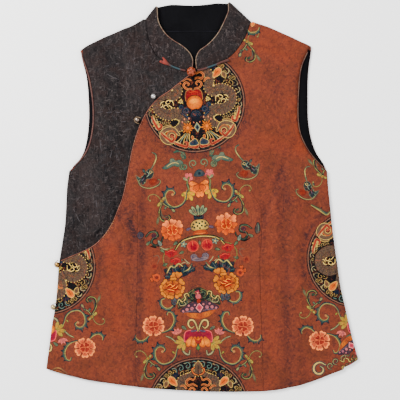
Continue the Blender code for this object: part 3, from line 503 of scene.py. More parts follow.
def bat(spot):
    """A bat with scalloped wings over a smiling cream crescent, and one long feeler."""
    strand([(-15, 1), (-11.4, 9.4), (-3.0, 12.6), (6.0, 10.2), (8.4, 6.2), (6.2, 4.8)], spot, 1.0,
           (190, 172, 126), (176, 164, 122), rim=(58, 66, 56), rim_wide=0.5)
    patch([(-15.4, -1.6), (-11.6, 1.4), (-8.6, 0.2), (-5.6, -3.6), (-2.2, -6.2), (1.6, -5.4), (2.0, -1.2),
           (-0.6, 2.6), (-5.2, 3.0), (-6.6, 6.0), (-10.4, 8.2), (-13.2, 4.2)], spot, (30, 34, 40),
           (52, 66, 66), rim=SAGE, rim_wide=0.35)
    patch([(-3.4, 5.0), (1.6, 3.2), (5.6, 5.2), (3.6, 8.6), (-1.2, 10.0)], spot, (196, 84, 40),
          (166, 62, 36))
    for x, y in ((-12.4, 0.8), (-9.4, 0.2), (-6.0, -2.2), (-12.6, 4.0), (-7.6, 6.4)):
        disc(x, y, 0.7, spot, (150, 160, 130), parts=5)
    strand([(-14.6, -0.6), (-11.8, 3.0), (-9.0, 3.4)], spot, 0.6, (110, 132, 116))
    strand([(-5, 1.2), (-2.0, -1.6), (-4.4, -4.2)], spot, 0.9, MIST)
    strand([(-9.8, 4.6), (-7.6, 2.0)], spot, 0.8, LILAC)
    strand([(-1, -1.8), (1.4, -3.4)], spot, 0.9, CREAM)
    petal(-6.8, -3.4, 0.72, 3.6, 2.4, spot, SAGE, TEAL, BLACK, 0.4)
    strand([(0.2, -6.0), (3.6, -10.6), (6.6, -16.4), (6.2, -20.8), (3.0, -22.6)], spot, 1.1, CREAM, SAGE,
           thin=(1.0, 0.5), rim=(44, 60, 56), rim_wide=0.4)
    disc(-0.4, -3.4, 1.2, spot, TEAL, rim=CREAM, rim_wide=0.3, parts=6)


def cloud_fin(spot):
    """A soft pointed cloud of three lobes, pale above and teal below."""
    patch([(-10.5, 3.4), (-6.6, 0.6), (-2.8, -1.6), (-1.8, -4.8), (1.4, -5.0), (3.4, -2.6), (7.6, -3.0),
           (10.6, 0.0), (9.0, 3.2), (4.8, 3.4), (1.2, 2.0), (-3.4, 3.6), (-7.6, 4.6)], spot, (150, 152, 126),
           (92, 122, 106),
          (0.2, 1.0), rim=(70, 84, 62), rim_wide=0.45)
    strand([(-6, 2.2), (-1.2, -0.4), (3.0, -0.8), (6.4, 0.8)], spot, 0.7, CREAM)
    strand(coil(8.0, 4.6, 3.0, 1.0, 0.7, 0.9), spot, 1.2, SAGE, rim=GREEN, rim_wide=0.4)


def star_flower(x, y, r, spot):
    """A small pink flower of five pointed petals."""
    for k in range(5):
        petal(x, y, 0.05 + k / 5, r, r * 0.62, spot, (206, 112, 110), (228, 158, 142), (150, 70, 70), 0.2,
              tip=1)


def dark_knot(spot):
    """A looped endless knot in black and green with wine inside."""
    strand([(-8.4, -2.4), (-3.4, -6.4), (2.4, -6.0), (3.2, -1.0), (-1.6, 0.6), (-3.2, 4.6), (0.8, 7.6),
            (6.4, 4.4), (8.6, -0.4)], spot, 1.9, (44, 52, 46), (58, 78, 58), rim=BLACK, rim_wide=0.5)
    strand([(-8.0, -2.6), (-3.4, -6.2), (2.0, -5.6), (2.6, -1.4), (-1.8, 0.2), (-3.6, 4.6)], spot, 0.6, SAGE)
    disc(-0.4, -2.6, 2.3, spot, (124, 58, 62), (96, 48, 60), parts=8)
    petal(3.4, 2.6, 0.18, 6.4, 3.4, spot, (60, 66, 80), MIST, BLACK, 0.5)
    petal(-4.4, 2.8, 0.4, 5.6, 2.8, spot, (44, 62, 48), SAGE, BLACK, 0.4)
    strand([(-6, 6.6), (-1.0, 9.2), (3.4, 8.6)], spot, 1.3, BLACK)


def vase(spot):
    """A round pot of studded cream with a dark neck, an orange foot and a fan of teal leaves."""
    for k, (lean, long) in enumerate(((-0.36, 9.2), (0.36, 9.4), (-0.2, 10.4), (0.2, 10.6), (0.0, 10.4))):
        petal(0.0 + lean * 6, -6.4, 0.75 + lean * 0.36, long, 3.4, spot, (56, 104, 98), (186, 184, 148),
              (46, 66, 54), 0.5)
    for lean in (-0.3, -0.1, 0.1, 0.3):
        strand([(lean * 5, -7), (lean * 17, -14.0)], spot, 0.6, (36, 84, 84))
    patch([(-5.2, -6.6), (0, -5.6), (5.2, -6.6), (4.8, -2.6), (0, -1.8), (-4.8, -2.6)], spot, BLACK, NAVY,
          soft=False)
    strand([(-4.8, -4.4), (0, -3.6), (4.8, -4.4)], spot, 0.6, TEAL)
    patch([(-8.8, 6.4), (-8.2, 1.4), (-4.0, -1.6), (4.0, -1.6), (8.2, 1.4), (8.8, 6.4), (4.4, 8.8),
           (-4.4, 8.8)], spot,
          (226, 208, 160), (196, 166, 112), rim=(50, 46, 38), rim_wide=0.7)
    for x, y in ((-6, 2.2), (-3, 0.4), (0, 1.8), (3, 0.4), (6, 2.2), (-5.4, 5.4), (-2.2, 4.2), (2.2, 4.2),
                 (5.4, 5.4), (0, 6.6), (-7.4, 4.4), (7.4, 4.4)):
        disc(x, y, 1.15, spot, BLACK, (70, 84, 60), parts=6)
    for x in (-1, 1):
        petal(x * 8.4, 5.4, 0.25 - x * 0.2, 5.6, 2.6, spot, (70, 70, 92), LILAC, BLACK, 0.3)
    patch([(-5, 8.8), (5, 8.8), (7.2, 13), (0, 14), (-7.2, 13)], spot, ORANGE, (196, 96, 48),
          rim=(140, 70, 40), rim_wide=0.3)
    strand([(-5.6, 11.2), (0, 12.2), (5.6, 11.2)], spot, 0.6, PEACH)


def peach_arch(spot):
    """An arch of dark stem with two ripe peaches under it and a small pale flower."""
    strand([(-25.4, 10.4), (-20.6, 4.0), (-13.4, 0.4), (0, -1.4), (13.4, 0.4), (20.6, 4.0), (25.4, 10.4)],
           spot, 2.6, (58, 64, 44), thin=(0.5, 0.5), rim=(40, 40, 32), rim_wide=0.3)
    strand([(-25.0, 10.0), (-20.2, 4.2), (-13.2, 0.7), (0, -1.0), (13.2, 0.7), (20.2, 4.2), (25.0, 10.0)],
           spot, 0.9, CREAM)
    for x in (-7.2, 7.2):
        disc(x, 8.2, 5.2, spot, (196, 44, 46), (222, 104, 80), (228, 140, 104), 0.5, parts=10)
        disc(x + 0.6, 9.2, 3.2, spot, (184, 30, 42), (196, 46, 48), parts=8)
        strand([(x - 0.4, 3.0), (x, 7.8)], spot, 0.5, (236, 164, 130))
    for x in (-16.2, 15.4):
        blossom(x, 5.2, 3.4, 5, spot, (60, 74, 92), MIST, BLACK, CREAM)
    petal(0, 3, 0.25, 4.4, 2.4, spot, GREEN, SAGE, BLACK, 0.3)


def berry_branch(spot):
    """A looped branch with two red flowers among small leaves, and a tendril with a ring."""
    strand([(-6.5, 15), (-9.4, 9.6), (-9.6, 3.0), (-5.4, -3.0), (1.0, -6.0)], spot, 0.9, (176, 150, 88),
           rim=OLIVE, rim_wide=0.3)
    for x, y, lean in ((-6, 10, 0.45), (-2, 12.4, 0.05), (4.6, 8.6, 0.98), (6.4, 1.4, 0.95),
                       (-8, -1.4, 0.62), (1.6, -7.6, 0.9)):
        petal(x, y, lean, 6.2, 2.8, spot, GREEN, SAGE, BLACK, 0.4, tip=1)
    for x, y, r in ((-1.4, 0.0, 5.0), (2.4, 8.2, 4.4)):
        for lean, reach in ((0.0, 1.2), (0.14, 0.8), (0.36, 0.9), (0.52, 1.25), (0.72, 0.7), (0.88, 0.85)):
            frill(x, y, lean, r * reach, r * 0.8, spot, (188, 44, 38), (214, 78, 58), (172, 64, 46), 0.3)
        strand([(x - r, y - 0.8), (x, y - r * 0.5), (x + r, y - 0.6)], spot, 0.6, (228, 140, 110))
        disc(x, y, r * 0.34, spot, CRIMSON, (196, 50, 44), parts=7)
    strand([(7, 12), (11, 10.6), (14.6, 13)], spot, 0.7, PALE)


def navy_leaves(spot):
    """A bank of broad navy leaves with pale veins over a peony."""
    patch([(-12.5, -1.0), (-8.5, 6.0), (-2.0, 8.6), (5.0, 7.6), (12.0, 5.2), (16.4, -2.0), (11.0, 0.6),
           (6.4, -0.6), (0, -2.0), (-6.0, -1.8)], spot, (24, 38, 52), (32, 58, 70), rim=BLACK, rim_wide=0.4)
    for x, y, lean, long, wide in ((-4, 6, 0.62, 10.5, 6.4), (0, 5, 0.72, 12.0, 7.0),
                                   (5, 5, 0.82, 12.0, 6.6), (9, 4, 0.93, 12.5, 5.6),
                                   (-6, 7, 0.54, 8.0, 4.6)):
        petal(x, y, lean, long, wide, spot, (26, 44, 60), (40, 76, 84), BLACK, 0.5, tip=1)
        c, s = math.cos(lean * math.tau), math.sin(lean * math.tau)
        strand([(x + c * 2, y + s * 2), (x + c * long * 0.8, y + s * long * 0.8)], spot, 0.5,
               (120, 142, 128))
    strand([(-10, 2.6), (-5.6, -3.8), (-2.0, -2.2), (2.6, -5.6), (6.4, -2.4)], spot, 1.2, SAGE, CREAM,
           rim=GREEN, rim_wide=0.5)
    strand([(6, 3.2), (12.0, 1.0), (16.0, -4.4)], spot, 1.1, CREAM, SAGE, rim=NAVY, rim_wide=0.5)


def big_peony(spot):
    """The large orange peony with a bud at its shoulder, above a navy scroll."""
    leaf_scroll([(2, 17), (-2.0, 21.8), (-7.4, 22.6), (-11.6, 18.6), (-11.4, 13.6), (-7.8, 12.6)], spot,
                (0.3, 0.55, 0.78), 3.0, -1, 1.6, MIST, NAVY)
    for x, lean in ((-0.6, 0.22), (2.4, 0.28), (5.6, 0.24)):
        petal(x, 12, lean, 10.5, 4.6, spot, (40, 50, 68), (120, 124, 120), BLACK, 0.5, tip=1)
    pale, mid, deep, line = (226, 176, 104), (218, 152, 84), (200, 112, 58), (108, 54, 36)
    for x, y, lean, r in ((4.6, -8.0, 0.6, 6.4), (7.6, -8.0, 0.8, 6.6), (-4.6, -1.4, 0.62, 7.4),
                          (-7.2, 2.0, 0.48, 7.0), (-6.2, 6.6, 0.38, 7.2), (-1.6, 9.0, 0.3, 7.0),
                          (4.6, 8.4, 0.18, 7.4), (8.0, 4.4, 0.08, 7.2), (8.4, -1.0, 0.92, 7.0),
                          (2.4, -3.4, 0.76, 6.2)):
        frill(*around(x, y, lean, -0.3 * r), lean, r * 0.94, r, spot, deep, pale, line, 0.6)
    disc(0.6, 2.6, 8.6, spot, (190, 84, 42), (204, 104, 50), line, 0.4, ry=7.0, parts=11)
    for x, y, lean in ((-5.4, 2.0, 0.6), (-1.4, -0.8, 0.72), (3.4, -0.8, 0.84), (6.2, 2.6, 0.0),
                       (4.6, 6.2, 0.16), (0.0, 6.6, 0.3), (-4.4, 5.8, 0.4)):
        frill(*around(x, y, lean, -2.0), lean, 5.4, 5.2, spot, (196, 76, 40), mid, line, 0.5)
    for points in (((-4.6, 2.0), (-1.0, 0.4), (1.4, 2.4)), ((1.0, 4.8), (4.4, 4.6), (6.0, 2.4)),
                   ((-4.4, 5.0), (-0.6, 6.0), (2.6, 7.4)), ((-1.4, 3.8), (1.4, 2.6), (3.8, 1.2))):
        strand(points, spot, 1.5, (206, 62, 34), (196, 52, 32), thin=(0.3, 0.3))
        strand([(x, y - 1.2) for x, y in points], spot, 0.7, (242, 196, 112), thin=(0.3, 0.3))
    for lean in (0.1, 0.45, 0.75):
        frill(-16.2, -8.4, lean, 4.2, 3.8, spot, (176, 60, 34), (222, 140, 88), line)


def dark_arch(spot):
    """A dark arch of leaves with pale curls and a pink bud, over the lotus bowl."""
    patch([(-21, 6.0), (-19, -1.0), (-12.4, -6.0), (-5.6, -11.6), (0, -13.0), (5.6, -11.6), (12.4, -6.0),
           (19, -1.0), (21, 6.0), (12.0, 2.6), (0, 0.6), (-12.0, 2.6)], spot, (30, 32, 34), (44, 58, 50),
           rim=(88, 70, 44), rim_wide=0.5)
    for half in halves(spot):
        for x, y, size in ((4.0, -8.6, 1.7), (8.4, -6.0, 1.8), (12.2, -2.8, 1.9), (16.4, 0.4, 1.9),
                           (6.0, -3.4, 1.6), (10.6, 0.2, 1.5)):
            strand(coil(x, y, size, 0.6, 0.1 + 0.13 * x, 1.1), half, 0.85, (184, 180, 116), (126, 142, 96),
                   thin=(0.6, 0.4))
        strand([(3.4, -11.6), (8.0, -9.2), (11.6, -5.6), (15.6, -3.6), (19.4, 0.6), (20.8, 4.6)], half, 0.8,
               (150, 150, 96), thin=(0.6, 0.4))
    blossom(0, -7.6, 3.2, 5, spot, (222, 140, 136), (200, 92, 100), BLACK, (240, 190, 170))
    disc(0, -2.4, 2.2, spot, (196, 66, 52), (160, 40, 40), BLACK, 0.4, parts=8)


def lotus_fan(spot):
    """The wide lotus seat: knotted clouds, a lilac band of jewels and a gold crescent below."""
    for half in halves(spot):
        strand([(1.0, -5.4), (3.6, -8.6), (7.4, -8.2), (8.6, -4.6), (6.0, -2.6), (3.8, -4.4)], half, 1.9,
               BLACK, (44, 58, 44))
        strand([(1.2, -5.2), (3.8, -8.0), (7.0, -7.6), (8.0, -4.8), (6.0, -3.2)], half, 0.5, SAGE)
        strand([(10.2, -4.6), (11.6, -8.2), (15.2, -6.8), (14.4, -2.6), (18.4, 0.6), (21.6, -2.4),
                (24.6, 2.4)], half, 1.0, CREAM,
               rim=(52, 70, 52), rim_wide=0.8)
        strand([(8.6, 1.2), (12.4, 0.2), (13.6, 3.2), (18.0, 3.8)], half, 1.0, SAGE, rim=(44, 48, 52),
               rim_wide=0.7)
        strand([(17.4, -0.6), (14.6, 3.8), (20.6, 4.6), (22.4, 0.4)], half, 0.9, PALE, rim=BLACK,
               rim_wide=0.5)
        patch([(0, 4.8), (8, 2.6), (16.4, 6.6), (21.4, 10.8), (14.0, 13.4), (6, 13.8), (0, 15.4)], half,
              (102, 74, 84), (86, 64, 76), rim=(72, 50, 66), rim_wide=0.5)
        for x, y, r in ((8.4, 9.2, 2.0), (14.0, 9.6, 1.8), (18.4, 11.0, 1.4), (4.8, 5.6, 1.3),
                        (11.6, 5.6, 1.3)):
            disc(x, y, r, half, (196, 134, 140), (210, 156, 150), (62, 50, 60), 0.5, parts=6)
        strand([(3.6, 12.6), (10.0, 11.8), (19.0, 12.8)], half, 0.7, (156, 138, 148))
        patch([(0, 15.8), (8.4, 14.2), (17.6, 13.0), (12.6, 17.8), (5.6, 20.6), (0, 21.2)], half,
              (222, 158, 84), (206, 120, 70), rim=(150, 86, 48), rim_wide=0.3)
        for x in (3.4, 7.6, 11.8):
            strand([(x, 15.4), (x * 0.8, 19.0)], half, 0.5, (156, 90, 52))
    disc(0, -3.4, 3.0, spot, (206, 128, 132), PINK, (72, 48, 56), 0.6, parts=8)
    patch([(0, 4.2), (3.6, 9.0), (0, 13.8), (-3.6, 9.0)], spot, (200, 66, 72), (230, 150, 150),
          rim=(240, 206, 196), rim_wide=0.5, soft=False)
    disc(0, 1.6, 2.2, spot, RED, FLAME, BLACK, 0.5, parts=7)


def curl_pair(spot):
    """Two facing curls that meet in a stem."""
    for half in halves(spot):
        strand([(0.2, 9.4), (2.0, 3.2), (5.0, -1.6), (9.0, -1.2), (9.8, 3.2), (6.8, 6.2), (4.2, 4.4)], half,
               1.5, SAGE, CREAM, rim=(48, 66, 62), rim_wide=0.7)
        petal(1.2, 8.6, 0.02, 6.4, 2.2, half, (92, 66, 78), LILAC, NAVY, 0.3)


def canopy(spot):
    """The small canopy over the roundel: a crimson hanging above yellow petals, with pink buds beside it."""
    for half in halves(spot):
        strand([(12.6, -3.8), (16.0, 2.6), (14.4, 10.6), (9.6, 13.4), (8.4, 9.2)], half, 1.6, SAGE, PALE,
               rim=(58, 72, 56), rim_wide=0.7)
        for lean, long in ((-0.12, 9.6), (-0.02, 10.6), (0.1, 9.4), (0.22, 8.0)):
            petal(13.6, 1.6, lean, long, 3.6, half, (212, 166, 92), (196, 178, 112), (130, 106, 56), 0.35)
        for lean in (-0.2, -0.1, 0.0, 0.1):
            petal(20.6, -7.0, 0.84 + lean, 6.6, 2.6, half, (206, 128, 118), (228, 168, 148), (150, 84, 84),
                  0.25, tip=0.6)
        strand([(22.6, 0.4), (27.4, -3.2), (32.4, -5.2)], half, 1.2, SAGE, PALE, rim=OLIVE, rim_wide=0.5)
        petal(11.6, -11.6, 0.9, 6.0, 3.0, half, (62, 84, 82), SAGE, BLACK, 0.4)
    patch([(-12.6, -8.6), (-6.2, -10.6), (0, -9.4), (6.2, -10.6), (12.6, -8.6), (13.4, 0.4), (10.0, -1.4),
           (-10.0, -1.4), (-13.4, 0.4)], spot, CRIMSON, (196, 60, 72), rim=(232, 152, 140), rim_wide=0.8)
    for x, lean in ((-7, 0.32), (-3.4, 0.28), (3.4, 0.22), (7, 0.18), (0, 0.25)):
        petal(x * 0.9, -4.8, lean, 11.0, 6.0, spot, (236, 190, 96), (222, 144, 66), (168, 84, 44), 0.35)
    patch([(-4.2, -3.2), (0, -0.8), (4.2, -3.2), (1.8, 2.6), (0, 4.4), (-1.8, 2.6)], spot, (196, 56, 48),
          FLAME)
    petal(0, 2.4, 0.25, 8.0, 3.4, spot, (150, 168, 96), (84, 112, 72), BLACK, 0.4, tip=1)


def gold_flower(spot):
    """The gold blossom between two stems with yellow side petals."""
    for lean, long in ((0.0, 9.4), (0.5, 9.4), (0.1, 11.0), (0.4, 11.0), (0.25, 12.4)):
        frill(0, -3.8, lean, long, 7.4, spot, (206, 112, 48), (240, 182, 92), (176, 86, 40))
    for lean in (0.14, 0.36):
        frill(0, -4.2, lean, 7.4, 5.4, spot, (196, 90, 40), (232, 156, 74), (170, 78, 38))
    for half in halves(spot):
        strand([(9.0, -12.4), (11.6, -7.0), (10.4, 0.6), (11.4, 5.4)], half, 1.5, SAGE, (160, 150, 84),
               rim=(50, 66, 48), rim_wide=0.5)
        petal(10.6, -9.0, 0.9, 6.6, 2.6, half, SAGE, PALE, GREEN, 0.3, tip=1)
        for lean, long in ((0.06, 7.6), (0.18, 9.0), (0.3, 9.4), (0.42, 7.0)):
            petal(11.4, 2.4, lean, long, 3.6, half, (230, 172, 84), (210, 190, 104), (140, 116, 56), 0.3)
    strand([(-4.6, -0.6), (0, 3.2), (4.6, -0.6)], spot, 0.6, (188, 84, 40))


def lower_repeat(spot):
    """What stands over a roundel in the repeat: canopy, ring scrolls, sprigs and pale peonies."""
    roundel(spot)

    def near(x, y, flip=1, size=1.0, turn=0.0):
        place = laid([(x, y)], spot)[0]
        return place[0], place[1], spot[2] * size, spot[3] + turn * spot[4], spot[4] * flip

    canopy(near(0, -67))
    curl_pair(near(0, -86.4))
    for flip in (1, -1):
        ring_scroll(near(-33 * flip, -53.6, flip))
        sprig(near(-50.2 * flip, -49.8, flip))
        peony_sprig(near(-44.6 * flip, -82.6, flip))


def column(tilt):
    """The vase column between the chest roundel and the lower repeat."""
    def spot(x, y, flip=1, turn=0.0, size=1.0):
        return x, y, size, turn + tilt, flip

    for x, y, flip in ((180.5, 153.6, 1), (214.0, 150.2, -1)):
        strand([(-6.4, -2.0), (-1.6, -3.0), (2.6, -0.4), (4.0, 4.4), (1.4, 5.6)], spot(x, y, flip), 1.9,
               SAGE, (88, 120, 100), rim=GREEN, rim_wide=0.6)
        petal(x, y, 0.25 - 0.1 * flip, 5.6, 3.0, ON_CLOTH, (84, 110, 84), SAGE, BLACK, 0.3)
    cloud_fin(spot(172.5, 163.8))
    cloud_fin(spot(222.2, 157.4, -1))
    for x, y, flip in ((193.2, 163.6, -1), (203.6, 162.4, 1)):
        strand(coil(0, 0, 4.4, 1.2, 0.2, -1.2), spot(x, y, flip), 1.3, PALE, SAGE, rim=(120, 70, 44),
               rim_wide=0.4)
    strand(coil(213.4, 163.4, 3.4, 1.2, 0.9, 1.1), ON_CLOTH, 1.3, (92, 124, 96), SAGE, rim=GREEN,
           rim_wide=0.5)
    strand(coil(184.4, 166.6, 3.2, 1.2, 0.6, -1.1), ON_CLOTH, 1.3, (92, 124, 96), SAGE, rim=GREEN,
           rim_wide=0.5)
    bat(spot(151.4, 175.4))
    bat(spot(244.2, 167.0, -1))
    patch([(-5.6, 1.8), (-3.4, -2.0), (0, -3.8), (3.4, -2.0), (5.6, 1.8), (2.6, 3.0), (-2.6, 3.0)],
          spot(199.4, 173.2), (98, 120, 116), (62, 80, 84), rim=(60, 66, 62), rim_wide=0.4)
    disc(199.4, 173.4, 1.5, ON_CLOTH, NAVY, parts=6)
    star_flower(188.5, 177.4, 5.8, ON_CLOTH)
    star_flower(209.5, 173.4, 5.8, ON_CLOTH)
    gold_flower(spot(199.4, 188.4))
    ring_scroll(spot(175.6, 197.6))
    ring_scroll(spot(222.4, 192.4, -1))
    sprig(spot(161.6, 201.2))
    sprig(spot(238.6, 193.6, -1))
    vase(spot(199.2, 221.6))
    for x, y, lean in ((172.2, 229.4, 0.03), (226.2, 223.2, 0.1)):
        disc(x, y + 1, 7.4, ON_CLOTH, (200, 84, 46), (212, 104, 54), (150, 62, 36), 0.3, parts=11)
        for dx, dy, angle, size in ((-5.6, -4.4, 0.6, 7.4), (0.6, -6.8, 0.76, 6.4), (6.2, -4.6, 0.9, 7.4),
                                    (7.4, 1.4, 0.02, 6.2), (5.0, 6.6, 0.16, 6.2), (-0.4, 8.2, 0.27, 6.0),
                                    (-6.0, 5.6, 0.38, 6.4), (-7.6, 0.8, 0.5, 6.4)):
            tone = (236, 188, 150) if dy < 0 else (230, 152, 88)
            frill(*around(x + dx, y + dy, angle + lean, -0.5 * size), angle + lean, size, size * 1.05,
                  ON_CLOTH, (212, 104, 62), tone, (156, 64, 38), 0.4)
        for angle in (0.1, 0.36, 0.62, 0.86):
            frill(x, y + 0.6, angle, 5.2, 5.0, ON_CLOTH, (190, 56, 32), (226, 126, 58), (240, 190, 130), 0.4)
        strand([(x - 3.6, y - 0.6), (x, y + 1.6), (x + 3.6, y - 0.8)], ON_CLOTH, 1.0, (200, 60, 34),
               thin=(0.3, 0.3))
    dark_knot(spot(154.4, 238.2))
    dark_knot(spot(243.6, 231.6, -1))
    petal(258.0, 222.4, 0.26, 11.0, 4.6, ON_CLOTH, (44, 50, 52), (104, 110, 96), (30, 32, 32), 0.7)
    strand([(258.4, 225), (258.2, 231)], ON_CLOTH, 0.8, (150, 152, 130))
    disc(140.2, 235.4, 3.3, ON_CLOTH, (58, 56, 66), (96, 92, 100), BLACK, 0.5, parts=9)
    strand([(160, 247), (164.5, 249.4), (169, 248.6)], ON_CLOTH, 1.0, PALE, rim=GREEN, rim_wide=0.3)
    peach_arch(spot(199.2, 237.4))
    berry_branch(spot(172.6, 253.0))
    berry_branch(spot(226.4, 247.6, -1))
    for flip in (1, -1):
        place = (199.8, 257.6, 1.0, tilt, flip)
        disc(5.8, -1.2, 3.2, place, (140, 120, 124), (170, 152, 148), (92, 74, 82), 0.5, ry=2.8, parts=9)
        strand(coil(5.8, -1.2, 2.4, 0.8, 0.4, 1.2), place, 0.6, (96, 78, 88))
    patch([(-8.6, 1.2), (-4, -1.0), (0, 0.6), (4, -1.0), (8.6, 1.2), (5, 2.8), (0, 3.4), (-5, 2.8)],
          spot(199.8, 257.6), (140, 118, 122), (168, 148, 144), rim=(92, 74, 82), rim_wide=0.4)
    strand([(-6, 1.4), (-2, 1.8), (2, 1.0), (6, 1.4)], spot(199.8, 257.6), 0.5, (96, 80, 88))
    for x, y, flip in ((176.6, 269.6, 1), (221.8, 264.6, -1)):
        navy_leaves(spot(x, y, flip))
    big_peony(spot(171.4, 285.2))
    big_peony(spot(226.6, 279.8, -1))
    for x, y in ((156.6, 277.6), (240.2, 272.6), (154.4, 266.4), (246.4, 259.6)):
        bright = (222, 134, 84) if y > 270 else (188, 98, 58)
        disc(x, y, 3.4, ON_CLOTH, (176, 70, 44), bright, bright, 0.3, parts=9)
        disc(x, y, 1.7, ON_CLOTH, (146, 52, 34), (160, 60, 40), parts=7)
    for x, y, flip in ((156.6, 262.0, 1), (243.0, 255.0, -1)):
        strand([(-2.4, -5.6), (1.6, -6.4), (3.0, -3.0), (0.2, 2.4)], spot(x, y, flip), 0.8, (150, 118, 92),
               thin=(0.6, 0.3))
    for x, y, flip in ((188.0, 262.6, 1), (210.6, 260.4, -1)):
        strand([(-3.2, -4.0), (-1.2, -1.2), (1.6, 1.2)], spot(x, y, flip), 0.9, PALE)
    dark_arch(spot(198.6, 300.6))
    lotus_fan(spot(198.6, 299.6, size=0.9))


def front_print():
    """All that is printed on the front, as the garment's own cut places it."""
    column(-0.108)
    roundel((194.5, 102.0, 1.0, -0.113, 1))
    lower_repeat((198.2, 408.3, 1.0, 0.0, 1))
    lower_repeat((46.5, 265.5, 0.97, math.pi + 0.06, 1))
    lower_repeat((355.6, 258.4, 0.96, math.pi - 0.085, 1))
    sprig((247.2, 41.6, 1.0, -0.3, -1))
    leaf_scroll([(247.2, 27.4), (248.8, 31.6), (253.4, 33.0), (258.0, 30.4), (259.4, 27.2)], ON_CLOTH,
                (0.3, 0.55, 0.8), 2.6, 1, 1.4, (134, 146, 88))
    petal(252, 26.4, 0.8, 5.4, 3.6, ON_CLOTH, ORANGE, PEACH, CREAM, 0.3)
    bat((305.4, 187.0, 0.92, 0.35, -1))
    leaf_scroll([(311, 205), (318.6, 209.6), (326.4, 214.6), (330.8, 211.2)], ON_CLOTH, (0.4, 0.6, 0.8), 2.4,
                -1, 2.0, (146, 152, 120), OLIVE)
    sprig((322.6, 176.4, 0.95, math.pi - 0.4, -1))
    strand(coil(319.6, 369.4, 7.4, 3.0, 0.9, -1.1), ON_CLOTH, 1.6, SAGE, CREAM, rim=TEAL, rim_wide=0.9)
    lotus_fan((355.5, 351.0, 0.74, 2.5, 1))
    lotus_fan((352.0, 367.0, 0.6, -0.5, 1))
    petal(66, 375, 0.52, 17, 8, ON_CLOTH, (206, 140, 88), (170, 110, 70), (84, 50, 40), 0.6, tip=0.5)
    strand([(48, 372), (58, 368), (68, 374)], ON_CLOTH, 1.2, (206, 170, 120), (150, 110, 74))
    for x, y in ((330.6, 366.0), (336.0, 361.4)):
        strand(coil(x, y, 3.6, 1.0, 0.2, 1.1), ON_CLOTH, 1.0, SAGE, (176, 164, 120), rim=NAVY, rim_wide=0.6)


# Back panel: the waistcoat's whole back, cut in one from the printed silk, face down on the table. Only
# a strip at the hem corner is seen in the photo, so its print, the front's larger shapes, is a guess.
LIGHT = 3.95

# How a matt surface's strength of light comes out in the picture: displayed values, 0 to 255, the light
# that gives each, and the mixing of colours between light and film, both ways.
SEEN = (0.5, 1.6, 3.9, 8.7, 16.9, 27.7, 42.2, 61.6, 87.3, 119.2, 151.4, 178.7, 200.7, 218.2, 232.0)
GIVEN = (0.0008, 0.0015, 0.0027, 0.0049, 0.009, 0.0165, 0.0302, 0.0552, 0.1011, 0.1852, 0.339, 0.6208,
         1.1368, 2.0816, 3.8117)
TO_FILM = np.array([[0.5708, 0.3776, 0.0516], [0.1306, 0.8430, 0.0264], [0.0891, 0.1874, 0.7235]])
TO_LIGHT = np.array([[2.1145, -1.0274, -0.0871], [-0.3705, 1.5529, -0.1824], [-0.1659, -0.2547, 1.4206]])

# The print unit at the garment's origin, and the origin's shift from it in metres, right and down.
PRINT_MIDDLE = (202.5, 197.5)
PRINT_SHIFT = (0.00025, 0.0011)

# Lines cut beside each seam, in metres from it, so that the cloth can dip into it.
SEAM_LANES = (-0.0026, -0.0011, 0.0, 0.0011, 0.0026)


def decoded(value):
    """A display value, 0 to 255, as linear light."""
    part = np.asarray(value, float) / 255
    return np.where(part <= 0.04045, part / 12.92, ((part + 0.055) / 1.055) ** 2.4)


def dye(colour):
    """The surface colour that looks like the named one (0 to 255) under the studio light and its film."""
    film = decoded(colour) @ TO_FILM.T
    strength = np.exp(np.interp(film, decoded(SEEN), np.log(GIVEN))) @ TO_LIGHT.T
    return np.clip(strength / LIGHT, 0.0008, 0.86)


def to_plan(points):
    """Print units to metres on the table."""
    p = np.asarray(points, float)
    return np.column_stack([(p[:, 0] - PRINT_MIDDLE[0]) * UNIT + PRINT_SHIFT[0],
                            (PRINT_MIDDLE[1] - p[:, 1]) * UNIT - PRINT_SHIFT[1]])


def to_print(plan):
    """Metres on the table to print units."""
    return np.column_stack([(plan[:, 0] - PRINT_SHIFT[0]) / UNIT + PRINT_MIDDLE[0],
                            PRINT_MIDDLE[1] - (plan[:, 1] + PRINT_SHIFT[1]) / UNIT])


def merged(name):
    """A copy of a solid's mesh with its loose triangles joined."""
    bm = bmesh.new()
    bm.from_mesh(node[name].data)
    bmesh.ops.remove_doubles(bm, verts=bm.verts, dist=1e-6)
    bm.normal_update()
    return bm


def to_mesh(name, bm):
    """A mesh from what was built, which is then let go."""
    mesh = bpy.data.meshes.new(name)
    bm.to_mesh(mesh)
    bm.free()
    return mesh


def outline_of(bm):
    """The plan outline of a flat piece, found from the edge of its upward faces."""
    tops = {face for face in bm.faces if face.normal.z > 0.3}
    links = {}
    for edge in bm.edges:
        if sum(face in tops for face in edge.link_faces) == 1:
            a, b = edge.verts
            links.setdefault(a, []).append(b)
            links.setdefault(b, []).append(a)
    start = next(iter(links))
    ring, here, before = [start], links[start][0], start
    while here is not start:
        ring.append(here)
        ahead = [v for v in links[here] if v is not before]
        before, here = here, ahead[0]
    ring = np.array([(v.co.x, v.co.y) for v in ring])
    x, y = ring[:, 0], ring[:, 1]
    if np.sum(x * np.roll(y, -1) - np.roll(x, -1) * y) < 0:
        ring = ring[::-1]
    return ring


